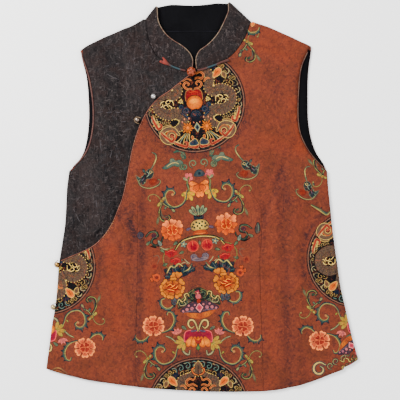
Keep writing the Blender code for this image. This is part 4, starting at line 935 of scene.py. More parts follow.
def rounded_outline(ring, step):
    """The outline in even small steps, smoothed along its curves and kept at its corners."""
    out = []
    count = len(ring)
    for i in range(count):
        p0, p1, p2, p3 = (ring[(i + k - 1) % count] for k in range(4))
        sharp1 = np.dot(p1 - p0, p2 - p1) < 0.86 * np.linalg.norm(p1 - p0) * np.linalg.norm(p2 - p1)
        sharp2 = np.dot(p2 - p1, p3 - p2) < 0.86 * np.linalg.norm(p2 - p1) * np.linalg.norm(p3 - p2)
        span = np.linalg.norm(p2 - p1)
        m1 = p2 - p1 if sharp1 else (p2 - p0) / np.linalg.norm(p2 - p0) * span
        m2 = p2 - p1 if sharp2 else (p3 - p1) / np.linalg.norm(p3 - p1) * span
        parts = max(1, round(span / step))
        for k in range(parts):
            t = k / parts
            out.append((2 * t**3 - 3 * t**2 + 1) * p1 + (t**3 - 2 * t**2 + t) * m1
                       + (3 * t**2 - 2 * t**3) * p2 + (t**3 - t**2) * m2)
    return np.array(out)


def inside(points, ring):
    """Which points lie inside a closed outline."""
    x, y = points[:, 0], points[:, 1]
    hit = np.zeros(len(points), bool)
    for a, b in zip(ring, np.roll(ring, -1, axis=0)):
        if a[1] != b[1]:
            hit ^= ((a[1] > y) != (b[1] > y)) & (x < (b[0] - a[0]) * (y - a[1]) / (b[1] - a[1]) + a[0])
    return hit


def away_from(points, line, closed=False):
    """Least distance from each point to a line in plan."""
    line = np.array(line, float)[:, :2]
    if closed:
        line = np.vstack([line, line[:1]])
    best = np.full(len(points), 1e9)
    for a, b in zip(line[:-1], line[1:]):
        ab = b - a
        t = np.clip(((points - a) @ ab) / max(ab @ ab, 1e-12), 0.0, 1.0)
        near = points - a - t[:, None] * ab
        best = np.minimum(best, near[:, 0] ** 2 + near[:, 1] ** 2)
    return np.sqrt(best)


def height_field(bm, ring, cell=0.004, soft=2):
    """A smooth height map of a piece's upper face, as a function of plan points."""
    tree = BVHTree.FromBMesh(bm)
    low = ring.min(axis=0) - 3 * cell
    size = np.ceil((ring.max(axis=0) + 3 * cell - low) / cell).astype(int) + 1
    z = np.zeros(size)
    known = np.zeros(size)
    for i in range(size[0]):
        for j in range(size[1]):
            hit = tree.ray_cast(Vector((low[0] + i * cell, low[1] + j * cell, 0.1)), Vector((0, 0, -1)))[0]
            if hit is not None:
                z[i, j] = hit.z
                known[i, j] = 1.0
    total, weight = z.copy(), known.copy()
    for _ in range(soft * 3):
        for axis in (0, 1):
            total = (np.roll(total, 1, axis) + 2 * total + np.roll(total, -1, axis)) / 4
            weight = (np.roll(weight, 1, axis) + 2 * weight + np.roll(weight, -1, axis)) / 4
    smooth = total / np.maximum(weight, 1e-9)

    def height(points):
        u = np.clip((points[:, 0] - low[0]) / cell, 0, size[0] - 1.001)
        v = np.clip((points[:, 1] - low[1]) / cell, 0, size[1] - 1.001)
        i, j = u.astype(int), v.astype(int)
        fu, fv = u - i, v - j
        return ((smooth[i, j] * (1 - fu) + smooth[i + 1, j] * fu) * (1 - fv)
                + (smooth[i, j + 1] * (1 - fu) + smooth[i + 1, j + 1] * fu) * fv)

    return height


def softly(points, rows, unit):
    """The sum of soft ridges along short lines; unit turns a row's half width into metres."""
    total = np.zeros(len(points))
    for x0, y0, x1, y1, half, strength in rows:
        away = away_from(points, to_plan([(x0, y0), (x1, y1)]))
        total += strength * np.exp(-((away / (half * unit)) ** 2))
    return total


def larger_than(least):
    """The print's shapes that are wider or longer than so many units."""
    return [shape for shape in ink if np.ptp(shape[0], axis=0).max() > least]


def cloth(name, solid, step, wall, folds=(), shapes=(), seams=(), tucks=(), face_up=True, wave=0.00022,
          plain_step=0.012):
    """A thin closed sheet on its solid's form, cut along the outlines of what is printed on it and
    along its seams. The printed face is cut fine; the other face is plain and coarse. A tuck, which is
    x, y, reach and amount, pushes the outline outward near a place, under what covers it."""
    bm = merged(solid)
    ring = outline_of(bm)
    height = height_field(bm, ring)
    bm.free()
    edge = rounded_outline(ring, step)
    run = np.roll(edge, -1, 0) - np.roll(edge, 1, 0)
    run /= np.linalg.norm(run, axis=1)[:, None]
    for x, y, reach, amount in tucks:
        near = np.exp(-((np.linalg.norm(edge - to_plan([(x, y)]), axis=1) / (reach * UNIT)) ** 2))
        edge = edge + np.column_stack([run[:, 1], -run[:, 0]]) * (near * amount)[:, None]
    low, high = edge.min(axis=0), edge.max(axis=0)

    def spread(gap):
        nx, ny = int((high[0] - low[0]) / gap) + 1, int((high[1] - low[1]) / (gap * 0.866)) + 1
        gx, gy = np.meshgrid(np.arange(nx), np.arange(ny))
        grid = np.stack([low[0] + gx * gap + (gy % 2) * gap / 2, low[1] + gy * gap * 0.866], -1)
        grid = grid.reshape(-1, 2)
        grid = grid[inside(grid, edge)]
        return grid[away_from(grid, edge, True) > gap * 0.45]

    def top(points):
        z = height(points) + softly(points, folds, 0.001) / 1000
        for seam in seams:
            away = away_from(points, to_plan(bent(seam, 3.0)))
            z += 0.00035 * np.exp(-((away / 0.005) ** 2)) - 0.00075 * np.exp(-((away / 0.0009) ** 2))
        if wave:
            z += np.array([noise.noise(Vector((x * 34, y * 26, 3.1))) + 0.4
                           * noise.noise(Vector((x * 90, y * 70, 1.7)))
                           for x, y in points]) * wave
        return z

    def cut(grid, outlines, lines):
        points = [Vector(p * 1000) for p in edge]
        count = len(edge)
        edges = [(k, (k + 1) % count) for k in range(count)]
        for shape in outlines:
            start = len(points)
            points.extend(Vector(p * 1000) for p in shape)
            edges.extend((start + k, start + (k + 1) % len(shape)) for k in range(len(shape)))
        for line in lines:
            start = len(points)
            points.extend(Vector(p * 1000) for p in line)
            edges.extend((start + k, start + k + 1) for k in range(len(line) - 1))
        points.extend(Vector(p * 1000) for p in grid)
        made, _, faces, _, _, _ = delaunay_2d_cdt(points, edges, [list(range(count))], 1, 1e-3, False)
        made = np.array([tuple(p) for p in made]) / 1000
        faces = np.array(faces)
        faces = faces[inside(made[faces].mean(axis=1), edge)]
        used, faces = np.unique(faces, return_inverse=True)
        return made[used], [tuple(int(k) for k in f) for f in faces.reshape(-1, 3)]

    lines = []
    for seam in seams:
        path = to_plan(bent(seam, 1.6))
        for shift in SEAM_LANES:
            line = path + leftward(directions(path), shift)
            keep = inside(line, edge)
            if keep.sum() > 2:
                lines.append(line[keep])
    fine, fine_faces = cut(spread(step), [to_plan(shape[0]) for shape in shapes], lines)
    plain, plain_faces = cut(spread(plain_step), [], [])
    fine_z, plain_z = top(fine), top(plain)
    if face_up:
        fine_z -= 0.0005 * np.clip(1 - away_from(fine, edge, True) / 0.0014, 0, 1) ** 2
        plain_z -= wall
    else:
        fine_z -= wall
    points = np.vstack([np.column_stack([fine, fine_z]), np.column_stack([plain, plain_z])])
    shift = len(fine)
    faces = [f if face_up else f[::-1] for f in fine_faces]
    faces += [tuple(i + shift for i in (f[::-1] if face_up else f)) for f in plain_faces]

    def border(cut_faces):
        seen = {(a, b) for f in cut_faces for a, b in zip(f, f[1:] + f[:1])}
        following = {a: b for a, b in seen if (b, a) not in seen}
        start = min(following)
        loop = [start]
        while following[loop[-1]] != start:
            loop.append(following[loop[-1]])
        return loop

    upper, lower = border(fine_faces), [i + shift for i in border(plain_faces)]
    faces += rim_faces(points, upper, lower, face_up)
    mesh = bpy.data.meshes.new(name)
    mesh.from_pydata([tuple(p) for p in points], [], faces)
    mesh.update()
    return shown(name, mesh), fine_faces, top


def shown(name, mesh):
    """A smooth piece with its mesh, in the scene."""
    made = bpy.data.objects.new(name, mesh)
    scene.collection.objects.link(made)
    for polygon in mesh.polygons:
        polygon.use_smooth = True
    return made


def rim_faces(points, upper, lower, face_up):
    """Joins two rings of different density round the edge with triangles."""
    a0 = points[upper[0]][:2]
    start = min(range(len(lower)), key=lambda k: np.hypot(*(points[lower[k]][:2] - a0)))
    lower = lower[start:] + lower[:start]
    upper, lower = upper + upper[:1], lower + lower[:1]
    faces, i, j = [], 0, 0
    while i < len(upper) - 1 or j < len(lower) - 1:
        up_next = points[upper[min(i + 1, len(upper) - 1)]][:2]
        low_next = points[lower[min(j + 1, len(lower) - 1)]][:2]
        up_gap = np.hypot(*(up_next - points[lower[j]][:2]))
        low_gap = np.hypot(*(low_next - points[upper[i]][:2]))
        if i < len(upper) - 1 and (j >= len(lower) - 1 or up_gap <= low_gap):
            face = (upper[i], lower[j], upper[i + 1])
            i += 1
        else:
            face = (upper[i], lower[j], lower[j + 1])
            j += 1
        faces.append(face if face_up else face[::-1])
    return faces


def printed(made, faces, shapes, painted_shades=()):
    """Colours the printed face: each small triangle takes the last shape that covers its middle. Each point
    also gets a shade value from the rows: painted shade where plus, painted light where minus.
    """
    mesh = made.data
    plan = np.empty(len(mesh.vertices) * 3)
    mesh.vertices.foreach_get("co", plan)
    plan = plan.reshape(-1, 3)[:, :2]
    faces = np.array(faces)
    corners = to_print(plan)[faces]
    middle = corners.mean(axis=1)
    shade = np.zeros((len(faces), 3, 4))
    for outline, first, last, way in shapes:
        low, high = outline.min(axis=0), outline.max(axis=0)
        near = np.flatnonzero((middle[:, 0] > low[0]) & (middle[:, 0] < high[0])
                              & (middle[:, 1] > low[1]) & (middle[:, 1] < high[1]))
        if not len(near):
            continue
        hit = near[inside(middle[near], outline)]
        a, b = dye(first), dye(last)
        if way:
            run = corners[hit] @ np.array(way)
            ends = outline @ np.array(way)
            t = (run - ends.min()) / (ends.max() - ends.min())
        else:
            heart = outline.mean(axis=0)
            reach = np.linalg.norm(outline - heart, axis=1).mean()
            t = np.linalg.norm(corners[hit] - heart, axis=2) / reach
        t = np.clip(t, 0, 1)[..., None]
        shade[hit, :, :3] = a * (1 - t) + b * t
        shade[hit, :, 3] = 1.0
    flat = np.zeros((len(mesh.loops), 4))
    flat[: len(faces) * 3] = shade.reshape(-1, 4)
    layer = mesh.color_attributes.new("print", "FLOAT_COLOR", "CORNER")
    layer.data.foreach_set("color", flat.ravel())
    painted_shade_values = mesh.attributes.new("shade", "FLOAT", "POINT")
    painted_shade_values.data.foreach_set("value", softly(plan, painted_shades, UNIT))


def added(tree, kind, inputs=None, **settings):
    """A new shader node with its settings and its inputs, which are values or other nodes' outputs."""
    made = tree.nodes.new(kind)
    for key, value in settings.items():
        setattr(made, key, value)
    for key, value in (inputs or {}).items():
        if isinstance(value, bpy.types.NodeSocket):
            tree.links.new(value, made.inputs[key])
        else:
            made.inputs[key].default_value = value
    return made


def blended(tree, factor, first, second, way="MIX"):
    """The mix of two colours or outputs by a factor."""
    mix = added(tree, "ShaderNodeMix", {"Factor": factor}, data_type="RGBA", blend_type=way)
    for socket, value in ((mix.inputs[6], first), (mix.inputs[7], second)):
        if isinstance(value, bpy.types.NodeSocket):
            tree.links.new(value, socket)
        else:
            socket.default_value = (*value, 1)
    return mix.outputs[2]


def spread_to(tree, value, start=0.0, end=1.0, low=0.0, high=1.0, **settings):
    """A value's range from start to end, given as one from low to high."""
    return added(tree, "ShaderNodeMapRange", {"Value": value, "From Min": start, "From Max": end,
                                              "To Min": low, "To Max": high}, **settings).outputs[0]


def ramped(tree, value, start, end):
    """A value spread softly, so that start gives nothing and end gives all."""
    return spread_to(tree, value, start, end, interpolation_type="SMOOTHSTEP")


def combined(tree, way, first, second, **settings):
    """The sum, product or greater of two values."""
    return added(tree, "ShaderNodeMath", {0: first, 1: second}, operation=way, **settings).outputs[0]


def new_finish(name):
    """A new material, its node tree and its surface."""
    finish = bpy.data.materials.new(name)
    finish.use_nodes = True
    return finish, finish.node_tree, finish.node_tree.nodes["Principled BSDF"]


def tone_ramp(tree, value, tones, places):
    """A colour picked by a value from tones at their places."""
    ramp = added(tree, "ShaderNodeValToRGB", {"Fac": value})
    steps = ramp.color_ramp.elements
    while len(steps) < len(tones):
        steps.new(0.5)
    for k, (tone, at) in enumerate(zip(tones, places)):
        steps[k].position = at
        steps[k].color = (*dye(tone), 1)
    return ramp.outputs[0]


def surfaced(tree, skin, colour, rough, height, bump, bump_height, gloss):
    """Joins a finish's colour, roughness and relief to its surface."""
    tree.links.new(colour, skin.inputs["Base Color"])
    tree.links.new(rough, skin.inputs["Roughness"])
    skin.inputs["Specular IOR Level"].default_value = gloss
    relief = added(tree, "ShaderNodeBump", {"Height": height, "Strength": bump, "Distance": bump_height})
    tree.links.new(relief.outputs[0], skin.inputs["Normal"])


# The marks that all the cloths share: broad uneven tone, upright grain, fine specks, a crackle of fine
# lines from the silk's mud dye, short slubs, and the rise and fall of the weave.
marks = bpy.data.node_groups.new("cloth_marks", "ShaderNodeTree")
for name, start in (("Blotch Scale", 16.0), ("Grain Scale", 1.0), ("Speck Scale", 900.0),
                    ("Threads", 900.0)):
    marks.interface.new_socket(name, in_out="INPUT", socket_type="NodeSocketFloat").default_value = start
for name in ("Blotch", "Mottle", "Grain", "Speck", "Crackle", "Slub", "Weave"):
    marks.interface.new_socket(name, in_out="OUTPUT", socket_type="NodeSocketFloat")
given = added(marks, "NodeGroupInput")
taken = added(marks, "NodeGroupOutput")
place = added(marks, "ShaderNodeTexCoord").outputs["Object"]
blotch = added(marks, "ShaderNodeTexNoise", {"Vector": place, "Scale": given.outputs["Blotch Scale"],
                                             "Detail": 5.0, "Roughness": 0.6, "Distortion": 0.6})
mottle = added(marks, "ShaderNodeTexNoise", {"Vector": place, "Scale": 190.0, "Detail": 4.0,
                                             "Roughness": 0.62, "Distortion": 0.8})
upright = added(marks, "ShaderNodeMapping", {"Vector": place, "Scale": (420, 36, 60)})
scaled = added(marks, "ShaderNodeVectorMath", {0: upright.outputs[0]}, operation="SCALE")
marks.links.new(given.outputs["Grain Scale"], scaled.inputs["Scale"])
grain = added(marks, "ShaderNodeTexNoise", {"Vector": scaled.outputs[0], "Scale": 1.0, "Detail": 4.0,
                                            "Roughness": 0.65})
speck = added(marks, "ShaderNodeTexNoise", {"Vector": place, "Scale": given.outputs["Speck Scale"],
                                            "Detail": 2.0})
warp = added(marks, "ShaderNodeTexNoise", {"Vector": place, "Scale": 60.0, "Detail": 3.0})
bend = added(marks, "ShaderNodeVectorMath", {0: warp.outputs["Color"], 1: (0.02, 0.02, 0.02)},
             operation="MULTIPLY")
bent_place = added(marks, "ShaderNodeVectorMath", {0: place, 1: bend.outputs[0]}, operation="ADD")
cells = added(marks, "ShaderNodeTexVoronoi", {"Vector": bent_place.outputs[0], "Scale": 95.0},
              feature="DISTANCE_TO_EDGE")
crackle = spread_to(marks, cells.outputs["Distance"], 0.0, 0.09, 1.0, 0.0)
leaning = added(marks, "ShaderNodeMapping", {"Vector": bent_place.outputs[0], "Rotation": (0, 0, 0.35),
                                             "Scale": (520, 90, 90)})
slub = added(marks, "ShaderNodeTexNoise", {"Vector": leaning.outputs[0], "Scale": 1.0, "Detail": 1.0})
lying = added(marks, "ShaderNodeMapping", {"Vector": bent_place.outputs[0], "Rotation": (0, 0, -0.12),
                                           "Scale": (150, 620, 90)})
second = added(marks, "ShaderNodeTexNoise", {"Vector": lying.outputs[0], "Scale": 1.0, "Detail": 1.0})
slub_mask = spread_to(marks, combined(marks, "MAXIMUM", slub.outputs[0], second.outputs[0]), 0.62, 0.71)
bands = []
for direction in ("X", "Y"):
    wave = added(marks, "ShaderNodeTexWave", {"Vector": place, "Distortion": 0.6, "Detail": 1.0},
                 bands_direction=direction)
    marks.links.new(given.outputs["Threads"], wave.inputs["Scale"])
    bands.append(wave.outputs["Fac"])
weave = combined(marks, "MAXIMUM", *bands)
for name, socket in (("Blotch", blotch.outputs[0]), ("Mottle", mottle.outputs[0]),
                     ("Grain", grain.outputs[0]), ("Speck", speck.outputs[0]), ("Crackle", crackle),
                     ("Slub", slub_mask), ("Weave", weave)):
    marks.links.new(socket, taken.inputs[name])


PRINT_WEAR = 0.07


def cloth_finish(name, warm, cool, deep, light, amounts, rough, print_strength=0.0, painted_shade_colour=None,
                 painted_light_colour=None, blotch_scale=16.0, bump=0.3):
    """A cloth: two tones in blotches, painted shade and painted light from its shade attribute, broken up by
    the blotches, darker grain and crackle, lighter slubs, and its print over them.
    """
    finish, tree, skin = new_finish(name)
    group = added(tree, "ShaderNodeGroup", node_tree=marks)
    group.inputs["Blotch Scale"].default_value = blotch_scale
    kit = group.outputs
    grain_amount, crackle_amount, slub_amount, speck_amount, mottle_amount = amounts
    colour = blended(tree, ramped(tree, kit["Blotch"], 0.36, 0.62), dye(warm), dye(cool))
    # Painted shade: where the shade attribute is plus, the cloth darkens towards the painted shade colour,
    # broken up by blotches and mottle; where it is minus, painted light brightens it towards the painted
    # light colour.
    if painted_shade_colour:
        shade = added(tree, "ShaderNodeAttribute", attribute_name="shade").outputs["Fac"]
        uneven = ramped(tree, combined(tree, "ADD", kit["Blotch"], kit["Mottle"]), 0.6, 1.25)
        darker = combined(tree, "MULTIPLY", shade, uneven, use_clamp=True)
        brighter = combined(tree, "MULTIPLY", shade, -1.0, use_clamp=True)
        colour = blended(tree, darker, colour, dye(painted_shade_colour))
        colour = blended(tree, brighter, colour, dye(painted_light_colour))
    if print_strength:
        drawn = added(tree, "ShaderNodeAttribute", attribute_name="print")
        hold = spread_to(tree, combined(tree, "ADD", kit["Speck"], kit["Mottle"]), 0.7, 1.0,
                         print_strength - PRINT_WEAR, print_strength)
        colour = blended(tree, combined(tree, "MULTIPLY", drawn.outputs["Alpha"], hold), colour,
                         drawn.outputs["Color"])
    darkening = np.minimum(dye(deep) / dye(warm), 1)
    for output, low, high, amount, tint, way in (("Mottle", 0.46, 0.66, mottle_amount, darkening,
                                                  "MULTIPLY"),
                                                 ("Grain", 0.46, 0.68, grain_amount, darkening, "MULTIPLY"),
                                                 ("Crackle", 0.1, 0.9, crackle_amount, darkening,
                                                  "MULTIPLY"),
                                                 ("Slub", 0.0, 1.0, slub_amount, dye(light), "MIX"),
                                                 ("Speck", 0.5, 0.72, speck_amount, darkening, "MULTIPLY")):
        if amount:
            part = combined(tree, "MULTIPLY", ramped(tree, kit[output], low, high), amount)
            colour = blended(tree, part, colour, tint, way)
    coarse = spread_to(tree, kit["Grain"], low=rough - 0.12, high=rough + 0.12)
    rise = combined(tree, "ADD", kit["Grain"], combined(tree, "ADD", kit["Weave"], kit["Speck"]))
    surfaced(tree, skin, colour, coarse, rise, bump, 0.0004, 0.03)
    return finish


def fitted(made, solid, finish):
    """Gives a piece its finish, and puts it in the place of its solid."""
    made.data.materials.clear()
    made.data.materials.append(finish)
    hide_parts(solid)
    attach(made, "root")


# Its browner tone is painted shade along folds and creases, and partly the silk's own uneven tone; the
# orange one is painted light.
rust_silk = cloth_finish("printed_silk", (160, 84, 54), (175, 94, 59), (110, 58, 48), (200, 126, 86),
                         (0.16, 0.4, 0.3, 0.22, 0.62), 0.75, 1.0, (100, 58, 52), (196, 100, 56), 26.0)
BACK_DETAIL = 3.4
front_print()
back_print = larger_than(BACK_DETAIL)
back_panel, back_faces, _ = cloth("back_panel", "back_shell", 0.006, 0.0009, shapes=back_print,
                                  face_up=False, wave=0.0)
printed(back_panel, back_faces, back_print)
fitted(back_panel, "back_shell", rust_silk)


# Back lining: plain black cotton sateen. It is seen inside the neck, where a seam crosses it, and as a
# dark strip in both armholes.
black_cotton = cloth_finish("black_lining", (15, 15, 18), (20, 20, 24), (12, 12, 13), (30, 30, 36),
                            (0.4, 0.0, 0.15, 0.3, 0.0), 0.9, 0.9, bump=0.25)
ink.clear()
strand([(160, 31.6), (176, 30.9), (192, 30.5), (206, 30.7), (222, 31.4)], ON_CLOTH, 0.9, (44, 44, 52),
       (34, 34, 42))
lining_print = list(ink)
lining_panel, lining_faces, _ = cloth("lining_panel", "back_lining", 0.006, 0.0008, shapes=lining_print,
                                      seams=[[(160, 33.4), (192, 32.6), (222, 33.4)]],
                                      tucks=((168, 31, 9, 0.0022), (192, 30, 12, 0.0022),
                                             (216, 31, 9, 0.0022)))
printed(lining_panel, lining_faces, lining_print)
fitted(lining_panel, "back_lining", black_cotton)


# Right front: the dark brocade yoke. It is a whole front cut from the shoulder to the side seam, and
# runs on under the curved lapel. Slubs and broken figures show in it, and a bust dart from the armhole.
def brocade_figures():
    """Tone-on-tone slubs and broken scroll figures of the dark cloth."""
    ink.clear()
    flat = ON_CLOTH
    chance = random.Random(11)
    for _ in range(40):
        x, y = chance.uniform(66, 180), chance.uniform(24, 250)
        turn, flip = chance.uniform(0, ROUND), chance.choice((1, -1))
        petal(2, 1, 0.2, 6, 2.4, (x, y, 1, turn, flip), (70, 62, 62), (76, 70, 72))
        strand(coil(0, 0, chance.uniform(2.5, 5), 0.8, 0.1, 1.2), (x, y, 1, turn, flip), 0.6, (88, 81, 84),
               (66, 62, 64), thin=(0.3, 0.3))
    for _ in range(820):
        x, y = chance.uniform(62, 190), chance.uniform(20, 262)
        lean = chance.choice((0.25, 0.25, 0.24, 0.26, 0.0, chance.uniform(-0.3, 0.3)))
        long, bow = chance.uniform(1.2, 5.0), chance.uniform(-0.8, 0.8)
        tone = chance.choice(((100, 92, 94), (92, 86, 90), (122, 114, 116), (42, 36, 38), (34, 30, 32),
                              (106, 92, 94)))
        c, s = math.cos(lean * math.tau), math.sin(lean * math.tau)
        strand([(x, y), (x + c * long / 2 - s * bow, y + s * long / 2 + c * bow),
                (x + c * long, y + s * long)], flat,
               chance.uniform(0.35, 0.7), tone, thin=(0.4, 0.3))
    for x, y, u, v in ((105, 66, 109, 65.4), (107, 74, 119, 79.5), (115, 63.6, 118, 63),
                       (126, 68, 129.4, 68.4), (132, 59, 136, 58), (97, 112, 103, 111.4),
                       (106, 112.4, 112, 112), (115, 111.6, 120, 112.4), (122, 121.6, 126, 121),
                       (100, 140, 101, 150), (112, 150, 110, 158), (84, 186, 90, 184), (76, 214, 80, 222),
                       (96, 200, 97, 208)):
        strand([(x, y), ((x + u) / 2, (y + v) / 2 + 0.4), (u, v)], flat, 0.8, (122, 116, 118),
               thin=(0.4, 0.3))
    return list(ink)


# Its near-black tone is painted shade along the folds and beside the lapel; the paler one is painted light.
dark_brocade = cloth_finish("dark_brocade", (70, 56, 54), (66, 60, 60), (40, 33, 34), (112, 101, 100),
                            (0.7, 0.3, 0.7, 0.45, 0.7), 0.75, 0.85, (28, 24, 26), (92, 80, 78), 40.0, 0.45)
yoke_dart = [(65, 229), (77, 217.5), (89, 206)]
yoke_figures = brocade_figures()
yoke, yoke_faces, _ = cloth(
    "yoke", "right_front", 0.005, 0.0011, tucks=((147.5, 20.5, 4, 0.002),), folds=
    ((104, 40, 112, 150, 9.0, 0.6), (118, 60, 120, 168, 8.0, -0.7), (92, 60, 98, 120, 7.0, -0.4),
     (128, 50, 134, 96, 8.0, 0.5), (72, 222, 96, 196, 5.0, 0.8), (88, 176, 104, 226, 7.0, -0.6),
     (100, 160, 118, 214, 7.0, 0.6), (76, 190, 82, 214, 6.0, 0.5), (84, 234, 104, 222, 5.0, -0.5),
     (142, 66, 160, 84, 7.0, -0.4), (100, 46, 132, 30, 7.0, 0.3)),
    shapes=yoke_figures, seams=[yoke_dart])
# Painted shade (plus) along the yoke's folds and in a band beside the lapel's edge, and painted light
# (minus) in a few places.
printed(yoke, yoke_faces, yoke_figures, ((105, 50, 112, 150, 5, 0.4), (119, 60, 121, 168, 4, 0.5),
                                         (70, 232, 88, 208, 3, 0.5), (111, 150, 108, 205, 4, 0.5),
                                         (92, 60, 96, 120, 5, -0.35), (128, 50, 136, 100, 8, -0.3),
                                         (86, 170, 96, 228, 10, -0.5), (140, 110, 128, 150, 3, 0.5),
                                         (128, 172, 114, 212, 4, 0.7), (114, 212, 98, 232, 4, 0.8),
                                         (98, 232, 70, 248, 3, 0.5), (140, 120, 130, 168, 3, 0.6),
                                         (88, 244, 104, 230, 3, 0.6)))
fitted(yoke, "right_front", dark_brocade)


# Left front: the printed silk, cut in one from neck to hem. Its curved edge laps over the yoke down to
# the side seam. Two long waist darts and a bust dart shape it, and break the print where they cross it.

# Soft folds of the front: two ends in print units, half width and height in millimetres.
FRONT_FOLDS = (
    (141, 212, 138, 300, 6.0, 1.3), (134, 232, 131, 392, 6.0, -1.0), (148, 290, 146, 392, 8.0, 0.6),
    (120, 262, 122, 390, 9.0, 0.5), (104, 282, 107, 388, 10.0, -0.5), (86, 300, 90, 380, 9.0, 0.5),
    (284, 168, 287, 300, 6.5, -1.1), (287, 300, 290, 388, 7.0, -1.1), (295, 180, 299, 388, 7.5, 1.2),
    (275, 188, 277, 384, 8.0, 0.7), (266, 205, 268, 300, 4.0, -0.7), (258, 198, 252, 262, 5.0, 0.5),
    (284, 164, 262, 222, 3.6, -1.2), (289, 168, 268, 226, 3.6, 1.1), (135, 212, 113, 230, 3.4, 1.2),
    (133, 222, 116, 238, 3.2, -1.0), (130, 203, 118, 219, 3.0, -0.8), (127, 232, 108, 246, 3.6, 0.8),
    (137, 224, 126, 250, 3.4, 0.7), (140, 150, 133, 205, 5.0, 0.5), (149, 160, 142, 214, 6.0, -0.5),
    (272, 66, 292, 132, 9.0, -0.5), (256, 56, 268, 150, 10.0, 0.5), (300, 118, 319, 168, 6.0, 0.5),
    (288, 58, 297, 100, 7.0, 0.4), (292, 190, 322, 214, 4.0, 0.8), (300, 208, 330, 232, 5.0, -0.5),
    (320, 240, 337, 372, 10.0, 0.5), (306, 232, 318, 380, 8.0, -0.5), (336, 232, 352, 352, 7.0, 0.4),
    (196, 258, 197, 284, 9.0, -0.3), (180, 366, 178, 390, 8.0, 0.4), (222, 362, 226, 388, 8.0, -0.4),
    (66, 318, 62, 370, 6.0, -0.5), (160, 372, 158, 388, 6.0, -0.5), (244, 368, 246, 388, 6.0, 0.5),
    (206, 150, 230, 215, 12.0, 0.3), (168, 150, 158, 240, 10.0, -0.3),
)


def front_tone_and_painted_shade():
    """Where the ground is browner (plus) or brighter (minus): partly the silk's own uneven tone, as in the
    rings round the roundels, and partly painted shade along the folds, darts and lapel creases and at the
    hem, with painted light on the raised parts; ends, half width in print units, strength.
    """
    rows = [
        (143, 190, 139, 300, 4, 0.7), (139, 300, 137, 392, 4, 0.7), (134, 232, 130, 392, 3, 0.25),
        (150, 240, 150, 392, 5, -0.25), (286, 172, 287, 300, 4.5, 0.45), (287, 300, 289, 392, 5.5, 0.65),
        (279, 190, 281, 260, 3, 0.35), (262, 202, 263, 262, 3, 0.4), (283, 166, 263, 220, 2.6, 0.5),
        (276, 168, 288, 206, 8, 0.3), (292, 100, 300, 150, 6, -0.3), (262, 46, 292, 60, 8, -0.3),
        (190, 292, 204, 256, 6, 0.2), (146, 236, 144, 262, 4, 0.35), (270, 250, 272, 390, 7, -0.2),
        (118, 214, 136, 236, 4, 0.8), (132, 203, 131, 254, 2.6, 0.6), (126, 210, 137, 240, 2.2, 0.6),
        (110, 232, 122, 248, 3, 0.45), (128, 240, 126, 290, 3, 0.3), (126, 196, 122, 214, 3, 0.4),
        (112, 250, 118, 330, 8, -0.35), (133, 204, 128, 224, 3, 0.35), (196, 252, 197, 290, 8, 0.35),
        (268, 62, 280, 104, 7, 0.35), (292, 64, 300, 96, 5, 0.3), (250, 98, 250, 132, 3, 0.35),
        (262, 30, 300, 46, 5, -0.2), (262, 140, 318, 150, 9, -0.2), (244, 300, 262, 300, 9, -0.2),
        (300, 330, 303, 392, 5, 0.35), (150, 386, 250, 391, 2.5, 0.35), (60, 374, 130, 390, 2, 0.4),
        (270, 389, 350, 370, 2, 0.4), (204, 214, 218, 206, 7, 0.4), (230, 236, 232, 262, 8, -0.2),
        (160, 262, 150, 300, 9, -0.2), (322, 120, 314, 92, 4, 0.25), (212, 330, 222, 352, 5, 0.35),
        (184, 330, 176, 352, 5, 0.35), (150, 160, 146, 176, 6, -0.25), (258, 340, 268, 372, 7, 0.2),
        (88, 300, 96, 328, 8, -0.2), (312, 196, 326, 204, 4, 0.4),
    ]
    for x, y, first, last in ((194.5, 102, 0.02, 0.5), (198.2, 408.3, 0.58, 0.92),
                              (46.5, 265.5, -0.22, 0.26), (355.6, 258.4, 0.26, 0.72)):
        for k in range(12):
            a, b = ((first + (last - first) * (k + m) / 12) * 2 * math.pi for m in (0, 1))
            rows.append((x + 54 * math.cos(a), y + 54 * math.sin(a), x + 54 * math.cos(b),
                         y + 54 * math.sin(b), 3.0, 0.6))
    return rows


FRONT_DETAIL = 1.1
ink.clear()
front_print()
front_darts = [
    [(138, 203), (138, 224), (137, 296), (135.5, 353), (135, 390)],
    [(251, 190), (256, 199), (262, 212), (261.5, 240), (260, 262), (260.8, 300), (262.5, 347), (263.5, 390)],
    [(329, 218), (325, 215.6), (315, 209.6), (303, 199.6), (290, 195.6)],
]
for dart in front_darts:
    strand(dart, ON_CLOTH, 0.45, (112, 54, 40), (118, 58, 42), thin=(0.4, 0.6))
front_shapes = larger_than(FRONT_DETAIL)
front, front_faces, front_top = cloth("front", "left_front", 0.005, 0.0011, FRONT_FOLDS, front_shapes,
                                      front_darts)
printed(front, front_faces, front_shapes, front_tone_and_painted_shade())
fitted(front, "left_front", rust_silk)


# Collar: a stand collar of two bands, the dark brocade outside and plain black inside, sewn together
# along the top edge and down both ends, and set into the neck seam.
def settled(made):
    """Turns what a piece's modifiers make into its own mesh."""
    whole = bpy.data.meshes.new_from_object(made.evaluated_get(bpy.context.evaluated_depsgraph_get()))
    made.modifiers.clear()
    made.data = whole
    for polygon in whole.polygons:
        polygon.use_smooth = True


def refined(name, solid, levels, sharp=0.0):
    """A piece on its solid's own form, with the facets rounded off."""
    bm = merged(solid)
    bmesh.ops.join_triangles(bm, faces=bm.faces, angle_face_threshold=0.7, angle_shape_threshold=2.5)
    crease = bm.edges.layers.float.new("crease_edge")
    for edge in bm.edges:
        if sharp and len(edge.link_faces) == 2 and edge.calc_face_angle(0.0) > sharp:
            edge[crease] = 0.8
    made = shown(name, to_mesh(name, bm))
    round_off = made.modifiers.new("round_off", "SUBSURF")
    round_off.levels = round_off.render_levels = levels
    settled(made)
    return made


